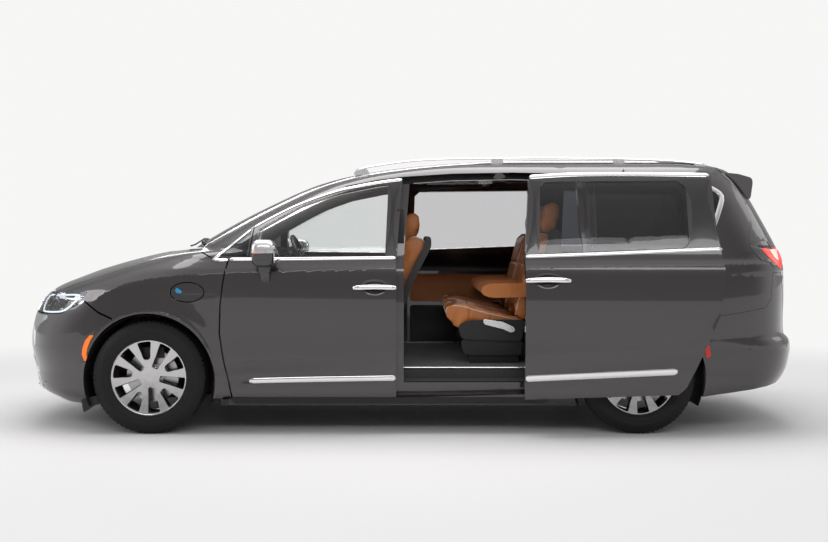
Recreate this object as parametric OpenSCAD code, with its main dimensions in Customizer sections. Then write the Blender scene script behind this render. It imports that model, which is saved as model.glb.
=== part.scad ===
// Minivan with the left sliding door open, built as separate panels around a hollow cabin.
// Frame: +X forward, +Y to the left, +Z up, origin on the ground under the middle of the overall length.

/* [Overall] */
// Distance between the front and rear axles
wheelbase = 3089; // [2900:1:3800]
// From the front axle to the nose
front_overhang = 970; // [900:1:1200]
// From the rear axle to the tail
rear_overhang = 1118; // [1000:1:1400]
// Width over the body, without the mirrors
body_w = 2022; // [1850:1:2430]
// Height of the roof above the ground
body_h = 1770; // [1475:1:2124]
// Height of the cabin floor above the ground
floor_z = 400; // [360:1:480]

/* [Wheels] */
// Outer radius of the tyre
tyre_r = 358; // [330:0.5:430]
// Width of the tyre
tyre_w = 235; // [195:1:265]
// Radius of the rim where the tyre sits on it
rim_r = 238; // [205:1:246]
// From the widest body side in to the tyre's outer face
wheel_inset = 26; // [15:1:60]
// Free space between the tyre and the edge of the arch
arch_gap = 62; // [45:0.5:80]
// Radius of the spindle that carries a wheel
spindle_r = 32; // [24:0.5:36]
// Radial clearance of the hub's bore on its spindle
hub_clearance = 0.08; // [0.02:0.01:0.1]

/* [Panels] */
// Thickness of the body side, skin to trim
side_t = 130; // [100:1:150]
// Thickness of a door's outer layer, in front of the body side
door_outer_t = 55; // [40:1:60]
// Thickness of a whole door
door_t = 104; // [90:1:112]
// Thickness of the fenders and bumpers
fender_t = 42; // [20:1:50]
// Thickness of the hood and roof
lid_t = 32; // [15:1:40]
// Thickness of the tailgate
gate_t = 60; // [40:1:80]
// Thickness of the window glass
glass_t = 6; // [4:0.5:8]
// Gap around the doors
door_gap = 7; // [5:0.5:10]
// Overlap of a door on the body around its aperture
door_lap = 35; // [20:1:45]

/* [Open door] */
// How far the left sliding door is slid back
slide_back = 787; // [0:1:900]
// How far it stands out from its closed place
slide_out = 122; // [118:1:140]

/* [Fittings] */
// Spacing of the two rear plate screws
plate_holes = 178; // [120:1:300]
// Radius of the rear plate screws
plate_screw_r = 3; // [2:0.5:5]
// Radius of the towing eye's thread
tow_r = 8; // [6:0.5:12]
// Radius of the steering wheel
steering_r = 182; // [165:1:195]
// Width of a seat cushion
seat_w = 510; // [440:1:540]

/* [Hidden] */

// ---- Design space: outlines are given for the standard size and mapped to the size set above ----
overall_l = front_overhang + wheelbase + rear_overhang;
front_axle = overall_l / 2 - front_overhang;
rear_axle_x = front_axle - wheelbase;
arch_r = tyre_r + arch_gap;
arch_drop = 13.5;
zone = arch_r + 40;
past = 400;
x_map = [[-2588.5 - past, -overall_l / 2 - past], [-2588.5, -overall_l / 2],
    [-1930.5, rear_axle_x - zone], [-1010.5, rear_axle_x + zone], [1158.5, front_axle - zone],
    [2078.5, front_axle + zone], [2588.5, overall_l / 2], [2588.5 + past, overall_l / 2 + past]];
z_map = [[0, 0], [400, floor_z], [1770, body_h], [1770 + past, body_h + past]];
function px(x) = lookup(x, x_map);
function py(y) = y * body_w / 2022;
function pz(z) = lookup(z, z_map);
function flat(points) = [for (p = points) [px(p[0]), pz(p[1])]];
function across(points) = [for (p = points) [py(p[0]), pz(p[1])]];
function plan(points) = [for (p = points) [px(p[0]), py(p[1])]];

hub_y = body_w / 2 - wheel_inset - tyre_w / 2;
tyre_inner_y = hub_y - tyre_w / 2;
arch_z = tyre_r - arch_drop;
behind_wheel = rear_axle_x - sqrt(pow(arch_r, 2) - pow(arch_z - pz(180), 2)) + 10;

// ---- The body's outer surface: closed plan curves stacked in height ----
// [height, distance of the nose ahead of the middle]
nose_x = [[160, 2390], [215, 2500], [260, 2545], [380, 2560], [480, 2580], [545, 2588.5], [640, 2578],
    [750, 2540], [830, 2490], [880, 2440], [930, 2350], [985, 2200], [1050, 2000], [1105, 1800],
    [1140, 1640], [1165, 1470], [1200, 1405], [1300, 1235], [1400, 1050], [1500, 845], [1550, 735],
    [1600, 605], [1650, 420], [1690, 190], [1720, -60], [1745, -400], [1762, -750], [1770, -1000]];
// [height, distance of the tail behind the middle]
tail_x = [[160, 2340], [235, 2440], [290, 2510], [370, 2562], [470, 2584], [545, 2588.5], [580, 2572],
    [610, 2545], [700, 2538], [850, 2542], [1000, 2540], [1080, 2528], [1150, 2500], [1250, 2452],
    [1400, 2375], [1500, 2322], [1600, 2262], [1650, 2222], [1690, 2160], [1720, 2060],
    [1740, 1930], [1755, 1750], [1765, 1500], [1770, 1000]];
// [height, half width]
side_y = [[160, 920], [200, 945], [240, 962], [300, 972], [360, 978], [420, 992], [500, 1003],
    [620, 1009], [760, 1011], [900, 1008], [990, 1000], [1040, 990], [1080, 972], [1110, 958],
    [1200, 930], [1300, 899], [1400, 866], [1500, 832], [1600, 793], [1650, 765], [1690, 722],
    [1720, 660], [1740, 590], [1755, 480], [1765, 330], [1770, 0]];
// [height, length of the curved nose above the belt]
nose_length = [[880, 1840], [1050, 1400], [1105, 1200], [1165, 1000], [1200, 1000], [1650, 900],
    [1770, 850]];
levels = [160, 240, 300, 380, 470, 545, 580, 620, 760, 830, 880, 930, 985, 1050, 1105, 1140, 1165,
    1200, 1300, 1400, 1500, 1600, 1650, 1690, 1720, 1740, 1755, 1765, 1769.5];
nose_angles = [0, 10, 22, 35, 47, 58, 68, 76, 82, 87, 90];
tail_angles = [90, 87, 82, 74, 64, 53, 42, 31, 20, 10, 0];
nose_roundness = 2.5;
tail_roundness = 3.5;

// Smooth curve through the points of a table, level beyond its ends
function slope(t, i) = let(a = max(i - 1, 0), b = min(i + 1, len(t) - 1))
    (t[b][1] - t[a][1]) / (t[b][0] - t[a][0]);
function span(t, k, i = 0) = i >= len(t) - 2 || k < t[i + 1][0] ? i : span(t, k, i + 1);
function curve(t, k) =
    k <= t[0][0] ? t[0][1] : k >= t[len(t) - 1][0] ? t[len(t) - 1][1] :
    let(i = span(t, k), h = t[i + 1][0] - t[i][0], u = (k - t[i][0]) / h)
    t[i][1] * (1 + 2 * u) * (1 - u) * (1 - u) + t[i + 1][1] * u * u * (3 - 2 * u)
    + h * u * (1 - u) * ((1 - u) * slope(t, i) - u * slope(t, i + 1));

function nose_power(z) = lookup(z, [[1100, 5], [1200, 6]]);
function tail_power(z) = lookup(z, [[1000, 8], [1150, 10]]);
function middle_x(z) = lookup(z, [[1650, -600], [1690, -1000]]);
function nose_l(z) = z < 880 ? curve(nose_x, z) - 600 : curve(nose_length, z);

// One point of a plan curve, moved in by d square to the curve; s is 1 ahead and -1 behind
function rim_point(s, x0, l, w, a, n, m, z, d) =
    let(t = pow(cos(a), 2 / n), v = pow(sin(a), 2 / m),
        gx = n / l * pow(t, n - 1), gy = m / w * pow(v, m - 1), g = norm([gx, gy]))
    [px(x0 + s * l * t) - s * d * gx / g, py(w * v) - d * gy / g, pz(z)];
function half_ring(z, d) =
    let(w = curve(side_y, z), front = curve(nose_x, z), x0 = middle_x(z),
        l = min(nose_l(z), front - x0 - 20))
    concat([for (a = nose_angles) rim_point(1, front - l, l, w, a, nose_power(z), nose_roundness, z, d)],
        [for (a = tail_angles)
            rim_point(-1, x0, curve(tail_x, z) + x0, w, a, tail_power(z), tail_roundness, z, d)]);
function ring(z, d) = let(h = half_ring(z, d))
    concat(h, [for (i = [len(h) - 2 : -1 : 1]) [h[i][0], -h[i][1], h[i][2]]]);

// Closed solid through rings of points, each ring counterclockwise seen from the far end
module loft(rings) {
    n = len(rings[0]);
    last = len(rings) - 1;
    polyhedron(points = [for (r = rings) for (p = r) p],
        faces = concat([[for (i = [0 : n - 1]) i]],
            [for (k = [0 : last - 1]) for (i = [0 : n - 1]) let(j = (i + 1) % n)
                [k * n + i, (k + 1) * n + i, (k + 1) * n + j]],
            [for (k = [0 : last - 1]) for (i = [0 : n - 1]) let(j = (i + 1) % n)
                [k * n + i, (k + 1) * n + j, k * n + j]],
            [[for (i = [n - 1 : -1 : 0]) last * n + i]]));
}

// The whole body with its surface moved in by d; an inner one starts lower and stops short of the crown
inner_top = 1755;
module body_solid(d = 0) {
    used = [for (z = levels) if (d == 0 || z <= inner_top) z];
    rings = [for (z = used) ring(z, d)];
    loft(d == 0 ? rings : concat([[for (p = rings[0]) [p[0], p[1], -past]]], rings));
}
module skin(d0, d1) difference() {
    body_solid(d0);
    body_solid(d1);
}
// The top layer of the body, t thick in height
module cap_layer(t) difference() {
    body_solid();
    translate([0, 0, -t]) body_solid();
}
// The end layer of the body, t thick along X, towards +X for s = 1
module end_layer(s, t) difference() {
    body_solid();
    translate([-s * t, 0, 0]) body_solid();
}

// Rounds a whole subtree into one mesh
module shell() resize([0, 0, 0]) children();
module both() {
    children();
    mirror([0, 1, 0]) children();
}
module on_side(side) {
    if (side > 0) children();
    else mirror([0, 1, 0]) children();
}
// Prism through the left body side from a side-view outline, or through the nose or tail
module side_prism(points, y0 = 300, y1 = 1300)
    translate([0, y1, 0]) rotate([90, 0, 0]) linear_extrude(y1 - y0) polygon(points);
module grown_prism(points, grow, y0 = 300, y1 = 1300)
    translate([0, y1, 0]) rotate([90, 0, 0]) linear_extrude(y1 - y0) offset(delta = grow) polygon(points);
module end_prism(points, x0, x1)
    translate([x0, 0, 0]) rotate([90, 0, 90]) linear_extrude(x1 - x0) polygon(points);
module block(x0, x1, y0, y1, z0, z1) translate([x0, y0, z0]) cube([x1 - x0, y1 - y0, z1 - z0]);
module wheel_well(x, r, y0, y1) translate([x, y1, arch_z]) rotate([90, 0, 0]) cylinder(r = r, h = y1 - y0, $fn = 64);

// ---- Outlines in side view, [x, z] ----
front_door = flat([[1090, 228], [1138, 478], [1161, 640], [1155, 815], [1138, 958], [1114, 1078],
    [1112, 1098], [985, 1112], [963, 1313], [674, 1470], [430, 1553], [185, 1602], [20, 1622],
    [58, 1100], [58, 228]]);
front_door_window = flat([[945, 1125], [935, 1290], [674, 1440], [430, 1525], [185, 1575], [110, 1582],
    [130, 1118]]);
corner_window = flat([[1190, 1122], [1003, 1122], [984, 1288]]);
sliding_door = flat([[47, 235], [47, 1100], [8, 1623], [-300, 1645], [-700, 1652], [-1141, 1640], [-1150, 1300],
    [-1170, 1150], [-1186, 1018], [-1153, 771], [-1038, 490], [-955, 310], [-906, 264]]);
sliding_window = flat([[-44, 1138], [-60, 1560], [-95, 1592], [-930, 1600], [-976, 1560], [-976, 1206],
    [-940, 1172]]);
quarter_window = flat([[-1212, 1170], [-1212, 1600], [-1900, 1592], [-1975, 1565], [-2010, 1490],
    [-1975, 1360], [-1915, 1250], [-1865, 1182]]);
body_region = flat([[1165, 180], [-2700, 180], [-2700, 1900], [1400, 1900], [1400, 1175], [1300, 1152],
    [1225, 1118], [1165, 1102]]);
fender_region = flat([[1100, 228], [1148, 478], [1171, 640], [1165, 815], [1148, 958], [1125, 1078],
    [1123, 1094], [1225, 1110], [1300, 1144], [1400, 1169], [1500, 1200], [2310, 1200], [2310, 860],
    [2035, 841], [1937, 772], [1846, 735], [1800, 500], [1700, 228]]);
lamp_region = flat([[2031, 889], [2302, 876], [2700, 872], [2700, 752], [2387, 748], [2205, 760],
    [2087, 819]]);
nose_region = flat([[1700, 228], [1846, 722], [1937, 759], [2035, 828], [2083, 813], [2205, 752],
    [2387, 740], [2700, 744], [2700, 240], [2480, 195], [2300, 178], [2050, 190]]);
tail_region = flat([[-1500, 200], [-1800, 500], [-1846, 706], [-1946, 743], [-2283, 794], [-2326, 848],
    [-2340, 1015], [-2700, 1015], [-2700, 360], [-2499, 340], [-2439, 300], [-2266, 280], [-1860, 235]]);
tail_lamp_region = flat([[-2250, 1172], [-2310, 1080], [-2440, 1022], [-2700, 1022], [-2700, 1187],
    [-2250, 1187]]);
// ---- Outlines in end view, [y, z]; gate_edge is the left half ----
gate_edge = [[700, 600], [735, 900], [760, 1020], [770, 1200], [650, 1660], [645, 1900]];
screen_edge = [[760, 1060], [760, 1178], [600, 1630]];
gate_window = across([[-600, 1130], [600, 1130], [560, 1540], [520, 1560], [-520, 1560], [-560, 1540]]);
function wide(edge, grow) = concat([for (p = edge) [py(p[0]) + grow, pz(p[1])]],
    [for (i = [len(edge) - 1 : -1 : 0]) [-py(edge[i][0]) - grow, pz(edge[i][1])]]);

roof_y = py(639);
roof_front_z = pz(1633);
gate_x = px(-2040);
hood_edge = [[1500, 0], [1480, 300], [1440, 560], [1400, 720], [1425, 770], [1450, 800], [1750, 800],
    [2000, 765], [2200, 700], [2300, 620], [2380, 431], [2420, 250], [2440, 0]];
function hood_side(front, side, rear) = [for (p = hood_edge)
    [px(p[0]) + (p[0] > 2150 ? front : p[0] < 1425 || p[1] < 700 ? -rear : 0),
        py(p[1]) + (p[0] > 2150 && p[1] > 600 ? 2 * side : p[1] > 690 ? side : 0)]];
function hood_plan(front = 0, side = 0, rear = 0) = let(h = hood_side(front, side, rear))
    concat(h, [for (i = [len(h) - 2 : -1 : 1]) [h[i][0], -h[i][1]]]);
module hood_prism(z0, front = 0, side = 0, rear = 0)
    translate([0, 0, z0]) linear_extrude(body_h) polygon(hood_plan(front, side, rear));

// ---- Front door hinge and the space its rear edge sweeps ----
door_hinge = [px(1163), py(1008)];
door_rear_r = door_hinge[0] - px(58);
door_top_r = norm([door_hinge[0] - px(20), door_hinge[1] - py(784)]);
belt_z = pz(1100);
door_top_z = pz(1622);
module door_swing(less = 0) translate([door_hinge[0], door_hinge[1], 0]) {
    cylinder(r = door_rear_r - less, h = belt_z, $fn = 360);
    translate([0, 0, belt_z]) cylinder(r1 = door_rear_r - less, r2 = door_top_r - less,
        h = door_top_z - belt_z + 1, $fn = 360);
}
step_z = pz(320);
door_inset = door_lap + door_gap;

module paint() color([0.24, 0.23, 0.235]) children();
module bright() color([0.8, 0.8, 0.82]) children();
module black() color([0.08, 0.08, 0.085]) children();
module glass() color([0.55, 0.6, 0.62]) children();
module leather() color([0.55, 0.36, 0.2]) children();
module metal() color([0.5, 0.5, 0.52]) children();

// ---- Fixed body ----
module body_side(side) paint() on_side(side) shell() difference() {
    intersection() {
        skin(0, side_t);
        side_prism(body_region, py(560));
    }
    difference() {
        union() {
            grown_prism(front_door, door_gap);
            grown_prism(sliding_door, door_gap);
        }
        body_solid(door_outer_t + 1.6 * door_gap);
    }
    difference() {
        grown_prism(fender_region, 4);
        body_solid(fender_t + 3);
    }
    intersection() {
        union() {
            grown_prism(front_door, -door_lap);
            grown_prism(sliding_door, -door_lap);
        }
        block(-overall_l, overall_l, 0, body_w, step_z, body_h);
    }
    side_prism(quarter_window);
    side_prism(corner_window);
    grown_prism(tail_region, 2);
    grown_prism(tail_lamp_region, 2);
    wheel_well(rear_axle_x, arch_r, 0, body_w);
    block(-overall_l, behind_wheel, 0, body_w, 0, pz(420));
    block(gate_x, px(700), -roof_y - 1, roof_y + 1, pz(1500), body_h + past);
    end_prism(wide(screen_edge, 1.5), px(300), overall_l);
    end_prism(wide(gate_edge, 12), -overall_l, gate_x);
}
module roof_panel() paint() shell() intersection() {
    cap_layer(lid_t);
    block(gate_x + 6, overall_l, -roof_y, roof_y, roof_front_z + 1, body_h + past);
}
module windscreen() glass() shell() intersection() {
    end_layer(1, 2.2 * glass_t);
    end_prism(across([[-760, 1178], [760, 1178], [600, 1630], [-600, 1630]]), 0, overall_l);
}
module front_fenders() paint() shell() both() difference() {
    intersection() {
        skin(0, fender_t);
        side_prism(fender_region, py(560));
    }
    hood_prism(0, 16, 9, 10);
    block(0, px(1560), 0, py(771), 0, body_h);
    grown_prism(lamp_region, 2);
    wheel_well(front_axle, arch_r, 0, body_w);
    charge_hole(6);
}
// The charging port's oval outline on the left fender
port_x = px(1366);
port_z = pz(898);
port_l = 206;
port_h = 116;
module charge_hole(grow) translate([port_x, body_w / 2 + 100, port_z]) rotate([90, 0, 0])
    linear_extrude(400) offset(delta = grow) resize([port_l, port_h]) circle(50, $fn = 40);
module charge_port_door() paint() shell() intersection() {
    skin(0, 14);
    charge_hole(0);
}
hatch_r = 3 * tow_r;
hatch_x = px(2420);
module front_bumper() paint() difference() {
    union() {
        nose_shell();
        translate([hatch_x, tow_y, tow_z]) rotate([0, 90, 0]) cylinder(r = hatch_r + 10, h = 54, $fn = 48);
    }
    translate([hatch_x - 1, tow_y, tow_z]) rotate([0, 90, 0]) cylinder(r = hatch_r, h = 400, $fn = 48);
}
module nose_shell() shell() difference() {
    intersection() {
        skin(0, fender_t);
        union() {
            both() side_prism(nose_region, -1);
            block(px(2400), overall_l, -py(428), py(428), pz(700), pz(868));
        }
    }
    hood_prism(pz(835), 16, 16);
    both() wheel_well(front_axle, arch_r, 0, body_w);
    end_prism(across(lower_grille), px(2000), overall_l);
    end_prism(across(upper_grille), px(2000), overall_l);
}
lower_grille = [[-560, 250], [560, 250], [500, 440], [-500, 440]];
upper_grille = [[-400, 765], [400, 765], [400, 826], [-400, 826]];
module grille() black() shell() {
    intersection() {
        skin(8, 30);
        end_prism(across([[-556, 254], [556, 254], [497, 436], [-497, 436]]), px(2200), overall_l);
    }
    intersection() {
        skin(8, 30);
        end_prism(across([[-396, 769], [396, 769], [396, 822], [-396, 822]]), px(2200), overall_l);
    }
}
module headlamps() glass() shell() both() difference() {
    intersection() {
        skin(0, 85);
        side_prism(lamp_region, py(431));
    }
    hood_prism(pz(835), 16, 16);
}
module hood() paint() shell() intersection() {
    cap_layer(lid_t);
    hood_prism(pz(820));
}
module tailgate_body() shell() {
    difference() {
        intersection() {
            union() {
                end_layer(-1, gate_t);
                block(px(-2545), px(-2470), -py(280), py(280), pz(790), pz(985));
            }
            end_prism(wide(gate_edge, 0), -overall_l, gate_x - 6);
            block(-overall_l, gate_x - 6, -body_w, body_w, pz(608), body_h + past);
            body_solid();
        }
        end_prism(gate_window, -overall_l, 0);
        block(-overall_l, px(-2505), -py(262), py(262), pz(800), pz(970));
    }
    spoiler();
}
// The lip that carries the roof line on past the rear glass
module spoiler() {
    ys = [-py(600), -py(560), -py(300), 0, py(300), py(560), py(600)];
    drop = [34, 24, 6, 0, 6, 24, 34];
    loft([for (i = [0 : len(ys) - 1]) let(d = drop[i])
        [[px(-2120), ys[i], pz(1660 - d)], [px(-2330) + 2 * d, ys[i], pz(1652 - d)],
            [px(-2334) + 2 * d, ys[i], pz(1668 - d)], [px(-2200), ys[i], pz(1692 - d)],
            [px(-2070), ys[i], pz(1718 - d)]]]);
}
module tailgate() paint() difference() {
    tailgate_body();
    for (s = [-1, 1]) translate([px(-2520), s * plate_holes / 2, plate_z]) rotate([0, 90, 0])
        cylinder(r = plate_screw_r, h = 200, $fn = 32);
}
plate_z = pz(900);
module tailgate_glass() glass() shell() intersection() {
    end_layer(-1, 1.3 * glass_t);
    end_prism([for (p = gate_window) [p[0] * (1 - 2 / py(600)), p[1] + (p[1] > pz(1300) ? -2 : 2)]],
        -overall_l, 0);
}
module rear_bumper() paint() shell() difference() {
    intersection() {
        skin(0, fender_t);
        both() side_prism(tail_region, -1);
    }
    both() wheel_well(rear_axle_x, arch_r, 0, body_w);
    difference() {
        end_prism(wide(gate_edge, 12), -overall_l, gate_x);
        block(-overall_l, 0, -body_w, body_w, 0, pz(600));
    }
}
module tail_lamps() color([0.5, 0.05, 0.05]) shell() both() difference() {
    intersection() {
        skin(0, 60);
        side_prism(tail_lamp_region, py(560));
    }
    end_prism(wide(gate_edge, 12), -overall_l, gate_x);
}

// ---- Doors ----
module front_door(side) paint() on_side(side) shell() difference() {
    union() {
        intersection() {
            skin(0, door_outer_t);
            side_prism(front_door);
            door_swing();
        }
        intersection() {
            skin(door_outer_t - 1, door_t);
            grown_prism(front_door, -door_inset);
            block(0, overall_l, 0, body_w, step_z + door_gap, body_h);
            door_swing(45);
        }
    }
    side_prism(front_door_window);
}
module front_door_glass(side) glass() on_side(side) shell() intersection() {
    skin(8, 8 + glass_t);
    grown_prism(front_door_window, -1);
}
module sliding_door_shape() difference() {
    union() {
        intersection() {
            skin(0, door_outer_t);
            side_prism(sliding_door);
        }
        intersection() {
            skin(door_outer_t - 1, door_t);
            grown_prism(sliding_door, -door_inset);
            block(-overall_l, overall_l, 0, body_w, step_z + door_gap, body_h);
        }
    }
    side_prism(sliding_window);
}
module sliding_door_left() paint() translate([-slide_back, slide_out, 0]) shell() sliding_door_shape();
module sliding_door_right() paint() mirror([0, 1, 0]) shell() sliding_door_shape();
module sliding_pane() shell() intersection() {
    skin(8, 8 + glass_t);
    grown_prism(sliding_window, -1);
}
module sliding_door_glass() glass() {
    translate([-slide_back, slide_out, 0]) sliding_pane();
    mirror([0, 1, 0]) sliding_pane();
}
module fixed_side_glass() glass() shell() both() intersection() {
    skin(5, 5 + glass_t);
    union() {
        grown_prism(quarter_window, -1);
        grown_prism(corner_window, -1);
    }
}

// ---- Mirrors and rails ----
// Boxy oval ring square to Y; bulge below 1 makes it squarer
function oval(x, y, z, rx, rz, bulge = 0.55) = [for (a = [15 : 30 : 345])
    [x - rx * sign(cos(a)) * pow(abs(cos(a)), bulge), y, z + rz * sign(sin(a)) * pow(abs(sin(a)), bulge)]];
mirror_centre = [px(877), pz(1141)];
module door_mirror(side) black() on_side(side) shell() {
    loft([for (k = [[1004, 0.86], [1018, 1], [1100, 1], [1138, 0.86], [1150, 0.6]])
        oval(mirror_centre[0], py(k[0]), mirror_centre[1], 78 * k[1], 91 * k[1])]);
    loft([for (k = [[1012, 955, 34], [1030, 985, 30], [1050, 1075, 34]])
        oval(mirror_centre[0], py(k[0]), pz(k[1]), 38, k[2])]);
}
rail_y = py(612);
module roof_rails() bright() both() for (k = [0]) {
    translate([0, rail_y + 14, 0]) rotate([90, 0, 0]) linear_extrude(28)
        polygon(flat([[330, 1672], [250, 1703], [-100, 1744], [-600, 1759], [-1200, 1759], [-1700, 1743],
            [-1960, 1719], [-1990, 1711], [-1990, 1722], [-1950, 1741], [-1700, 1756], [-1200, 1767],
            [-600, 1767], [-100, 1757], [270, 1714], [335, 1680]]));
}

// ---- Wheels: modelled on their axle as the local Z axis, outboard up ----
module at_hub(x, side) translate([x, side * hub_y, tyre_r]) rotate([-90 * side, 0, 0]) children();
rim_w = 200;
lip = 13;
bead = rim_r - 3;
module tyre_shape() rotate_extrude($fn = 96) polygon([[rim_r + 1, -101], [rim_r + 1, -112],
    [rim_r + 30, -tyre_w / 2 + 1], [tyre_r - 70, -tyre_w / 2], [tyre_r - 25, -tyre_w / 2 + 10],
    [tyre_r - 5, -tyre_w / 2 + 28], [tyre_r, -tyre_w / 2 + 45], [tyre_r, tyre_w / 2 - 45],
    [tyre_r - 5, tyre_w / 2 - 28], [tyre_r - 25, tyre_w / 2 - 10], [tyre_r - 70, tyre_w / 2],
    [rim_r + 30, tyre_w / 2 - 1], [rim_r + 1, 112], [rim_r + 1, 101]]);
bore_r = spindle_r + hub_clearance;
bore_in = -46;
bore_end = 24;
disc_r = 166;
spokes = 5;
module rim_shape() difference() {
    rotate_extrude($fn = 96) polygon([[0, 32], [0, 66], [34, 66], [66, 58], [66, 46], [170, 74],
        [rim_r - 20, 80], [rim_r - 18, 88], [rim_r - 6, 100], [rim_r, 100], [rim_r, -100],
        [rim_r - 12, -100], [rim_r - 26, -80], [rim_r - 30, 30], [rim_r - 34, 52], [176, 52], [80, 30],
        [80, -4], [disc_r, -4], [disc_r, -32], [62, -32], [62, bore_in], [bore_r, bore_in],
        [bore_r, bore_end], [0, bore_end]]);
    for (k = [0 : spokes - 1]) rotate([0, 0, k * 360 / spokes]) {
        translate([0, 0, 40]) linear_extrude(60) polygon([[88, -20], [88, 20], [184, 62], [190, 40],
            [192, 0], [190, -40], [184, -62]]);
        rotate([0, 0, 36]) translate([0, 0, 40]) linear_extrude(60)
            polygon([[96, -5], [96, 5], [190, 17], [190, -17]]);
    }
}
module tyre(x, side) color([0.05, 0.05, 0.05]) at_hub(x, side) tyre_shape();
module rim(x, side) bright() at_hub(x, side) rim_shape();
module spindle(from) translate([0, 0, from]) cylinder(r = spindle_r, h = bore_end - 2 - from, $fn = 64);
// Brake calliper straddling the disc above the axle, 5 mm clear of it
module calliper() difference() {
    translate([-75, -disc_r - 18, -52]) cube([150, 70, 64]);
    translate([0, 0, -38]) cylinder(r = disc_r + 6, h = 40, $fn = 64);
}

// ---- Steering knuckles: they turn about the line from the lower joint to the strut's top ----
joint_z = 215;
joint_y = hub_y - 50;
strut_top = [hub_y - 224, 880];
function king_y(z) = joint_y + (strut_top[0] - joint_y) * (z - joint_z) / (strut_top[1] - joint_z);
king_length = norm([strut_top[0] - joint_y, strut_top[1] - joint_z]);
king_tilt = atan((joint_y - strut_top[0]) / (strut_top[1] - joint_z));
plate_in = king_y(tyre_r) - hub_y - 10;
module knuckle(side) metal() on_side(side) {
    at_hub(front_axle, 1) {
        spindle(-80);
        translate([0, 0, plate_in]) cylinder(r = 58, h = -54 - plate_in, $fn = 64);
        calliper();
        translate([-30, -disc_r + 6, plate_in]) cube([60, 110, -48 - plate_in]);
    }
    translate([front_axle, joint_y, joint_z]) rotate([king_tilt, 0, 0]) {
        cylinder(r = 17, h = 60, $fn = 32);
        translate([-26, -24, 55]) cube([52, 48, 330]);
        translate([0, 0, 380]) cylinder(r = 27, h = king_length - 386, $fn = 48);
    }
    block(front_axle - 150, front_axle, king_y(330) - 18, king_y(330) + 14, 312, 340);
}
strut_plate_z = strut_top[1] + 8;
rail_out = tyre_inner_y - 240;
arm_z = 188;
module front_subframe() metal() {
    block(front_axle - 170, front_axle + 150, -rail_out, rail_out, 222, 262);
    for (s = [-1, 1]) on_side(s) {
        translate([front_axle, 0, arm_z]) linear_extrude(15) polygon([[-150, rail_out - 60],
            [-110, tyre_inner_y - 130], [-21, joint_y - 96], [-20, joint_y], [20, joint_y],
            [21, joint_y - 96], [110, tyre_inner_y - 130], [150, rail_out - 60]]);
        block(front_axle - 150, front_axle + 150, rail_out - 60, rail_out, arm_z, 222);
        block(front_axle - 380, front_axle + 420, rail_out - 70, rail_out, 262, 300);
    }
}
module rear_axle() metal() {
    beam_z = tyre_r - 30;
    translate([rear_axle_x, 0, 0]) {
        translate([0, hub_y - 150, beam_z]) rotate([90, 0, 0]) cylinder(r = 30, h = 2 * hub_y - 300, $fn = 48);
        for (s = [-1, 1]) on_side(s) {
            block(-55, 55, tyre_inner_y - 36, tyre_inner_y - 12, beam_z - 45, beam_z + 90);
            translate([-190, tyre_inner_y - 92, beam_z - 10]) cylinder(r = 26, h = floor_z - 20 - beam_z + 10,
                $fn = 40);
            block(-215, 30, tyre_inner_y - 118, tyre_inner_y - 66, beam_z - 28, beam_z - 6);
        }
    }
    for (s = [-1, 1]) on_side(s) at_hub(rear_axle_x, 1) {
        spindle(-130);
        translate([0, 0, -130]) cylinder(r = 56, h = 76, $fn = 64);
        calliper();
        translate([-30, -disc_r + 6, -88]) cube([60, 125, 40]);
    }
}

// ---- Floor, front structure and what hangs below ----
floor_t = 20;
floor_y = py(985) - side_t - 5;
tub_r = arch_r + 36;
tub_in = tyre_inner_y - 60;
tub_out = floor_y - py(14);
module tub() intersection() {
    difference() {
        wheel_well(rear_axle_x, tub_r, tub_in, tub_out);
        wheel_well(rear_axle_x, tub_r - 12, tub_in + 15, tub_out + 1);
    }
    block(-overall_l, 0, 0, body_w, floor_z - floor_t, body_h);
}
module floor_pan() black() {
    difference() {
        translate([0, 0, floor_z - floor_t]) linear_extrude(floor_t) polygon([[firewall_x, floor_y],
            [px(-1400), floor_y], [px(-1950), py(812)], [px(-2250), py(690)], [px(-2440), py(590)],
            [px(-2440), -py(590)], [px(-2250), -py(690)], [px(-1950), -py(812)], [px(-1400), -floor_y],
            [firewall_x, -floor_y]]);
        both() block(rear_axle_x - tub_r + 6, rear_axle_x + tub_r - 6, tub_in, body_w, 0, floor_z + 1);
    }
    both() tub();
    both() for (x = [px(870), px(-870)]) block(x - 60, x + 60, jack_y - 40, jack_y + 40, jack_z, floor_z - floor_t);
}
jack_z = pz(186);
jack_y = floor_y - 90;
firewall_x = front_axle - zone - 0.5;
deck_z = pz(1105);
beam_x = px(2395);
tow_y = -py(520);
tow_z = pz(485);
tow_l = 40;
module bulkhead() black() difference() {
    union() {
        end_prism(across([[-845, 385], [845, 385], [845, 860], [800, 1000], [775, 1105], [-775, 1105],
            [-800, 1000], [-845, 860]]), firewall_x, firewall_x + 18);
        both() {
            block(firewall_x, beam_x - 30, rail_out - 85, rail_out - 8, pz(400) + 1, pz(520));
            block(firewall_x, px(2200), rail_out - 8, rail_out, pz(430), pz(900));
            block(front_axle - 110, front_axle + 110, rail_out, strut_top[0] + 60, strut_plate_z,
                strut_plate_z + 16);
        }
        block(beam_x - 40, beam_x, -py(590), py(590), pz(440), pz(530));
        block(beam_x - 95, beam_x - 45, -py(435), py(435), pz(300), pz(800));
    }
    translate([beam_x - tow_l, tow_y, tow_z]) rotate([0, 90, 0]) cylinder(r = tow_r, h = tow_l + 1, $fn = 48);
}
module cowl() black() block(firewall_x + 18, px(1395), -py(700), py(700), deck_z - 14, deck_z);
module engine() metal() difference() {
    block(px(1720), px(2180), -py(400), py(400), pz(320), pz(830));
    for (s = [-1, 1]) translate([px(1720), s * py(400), pz(830)]) rotate([0, 90, 0])
        rotate([0, 0, 45]) translate([-60, -60, -1]) cube([120, 120, px(2180) - px(1720) + 2]);
}
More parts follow.
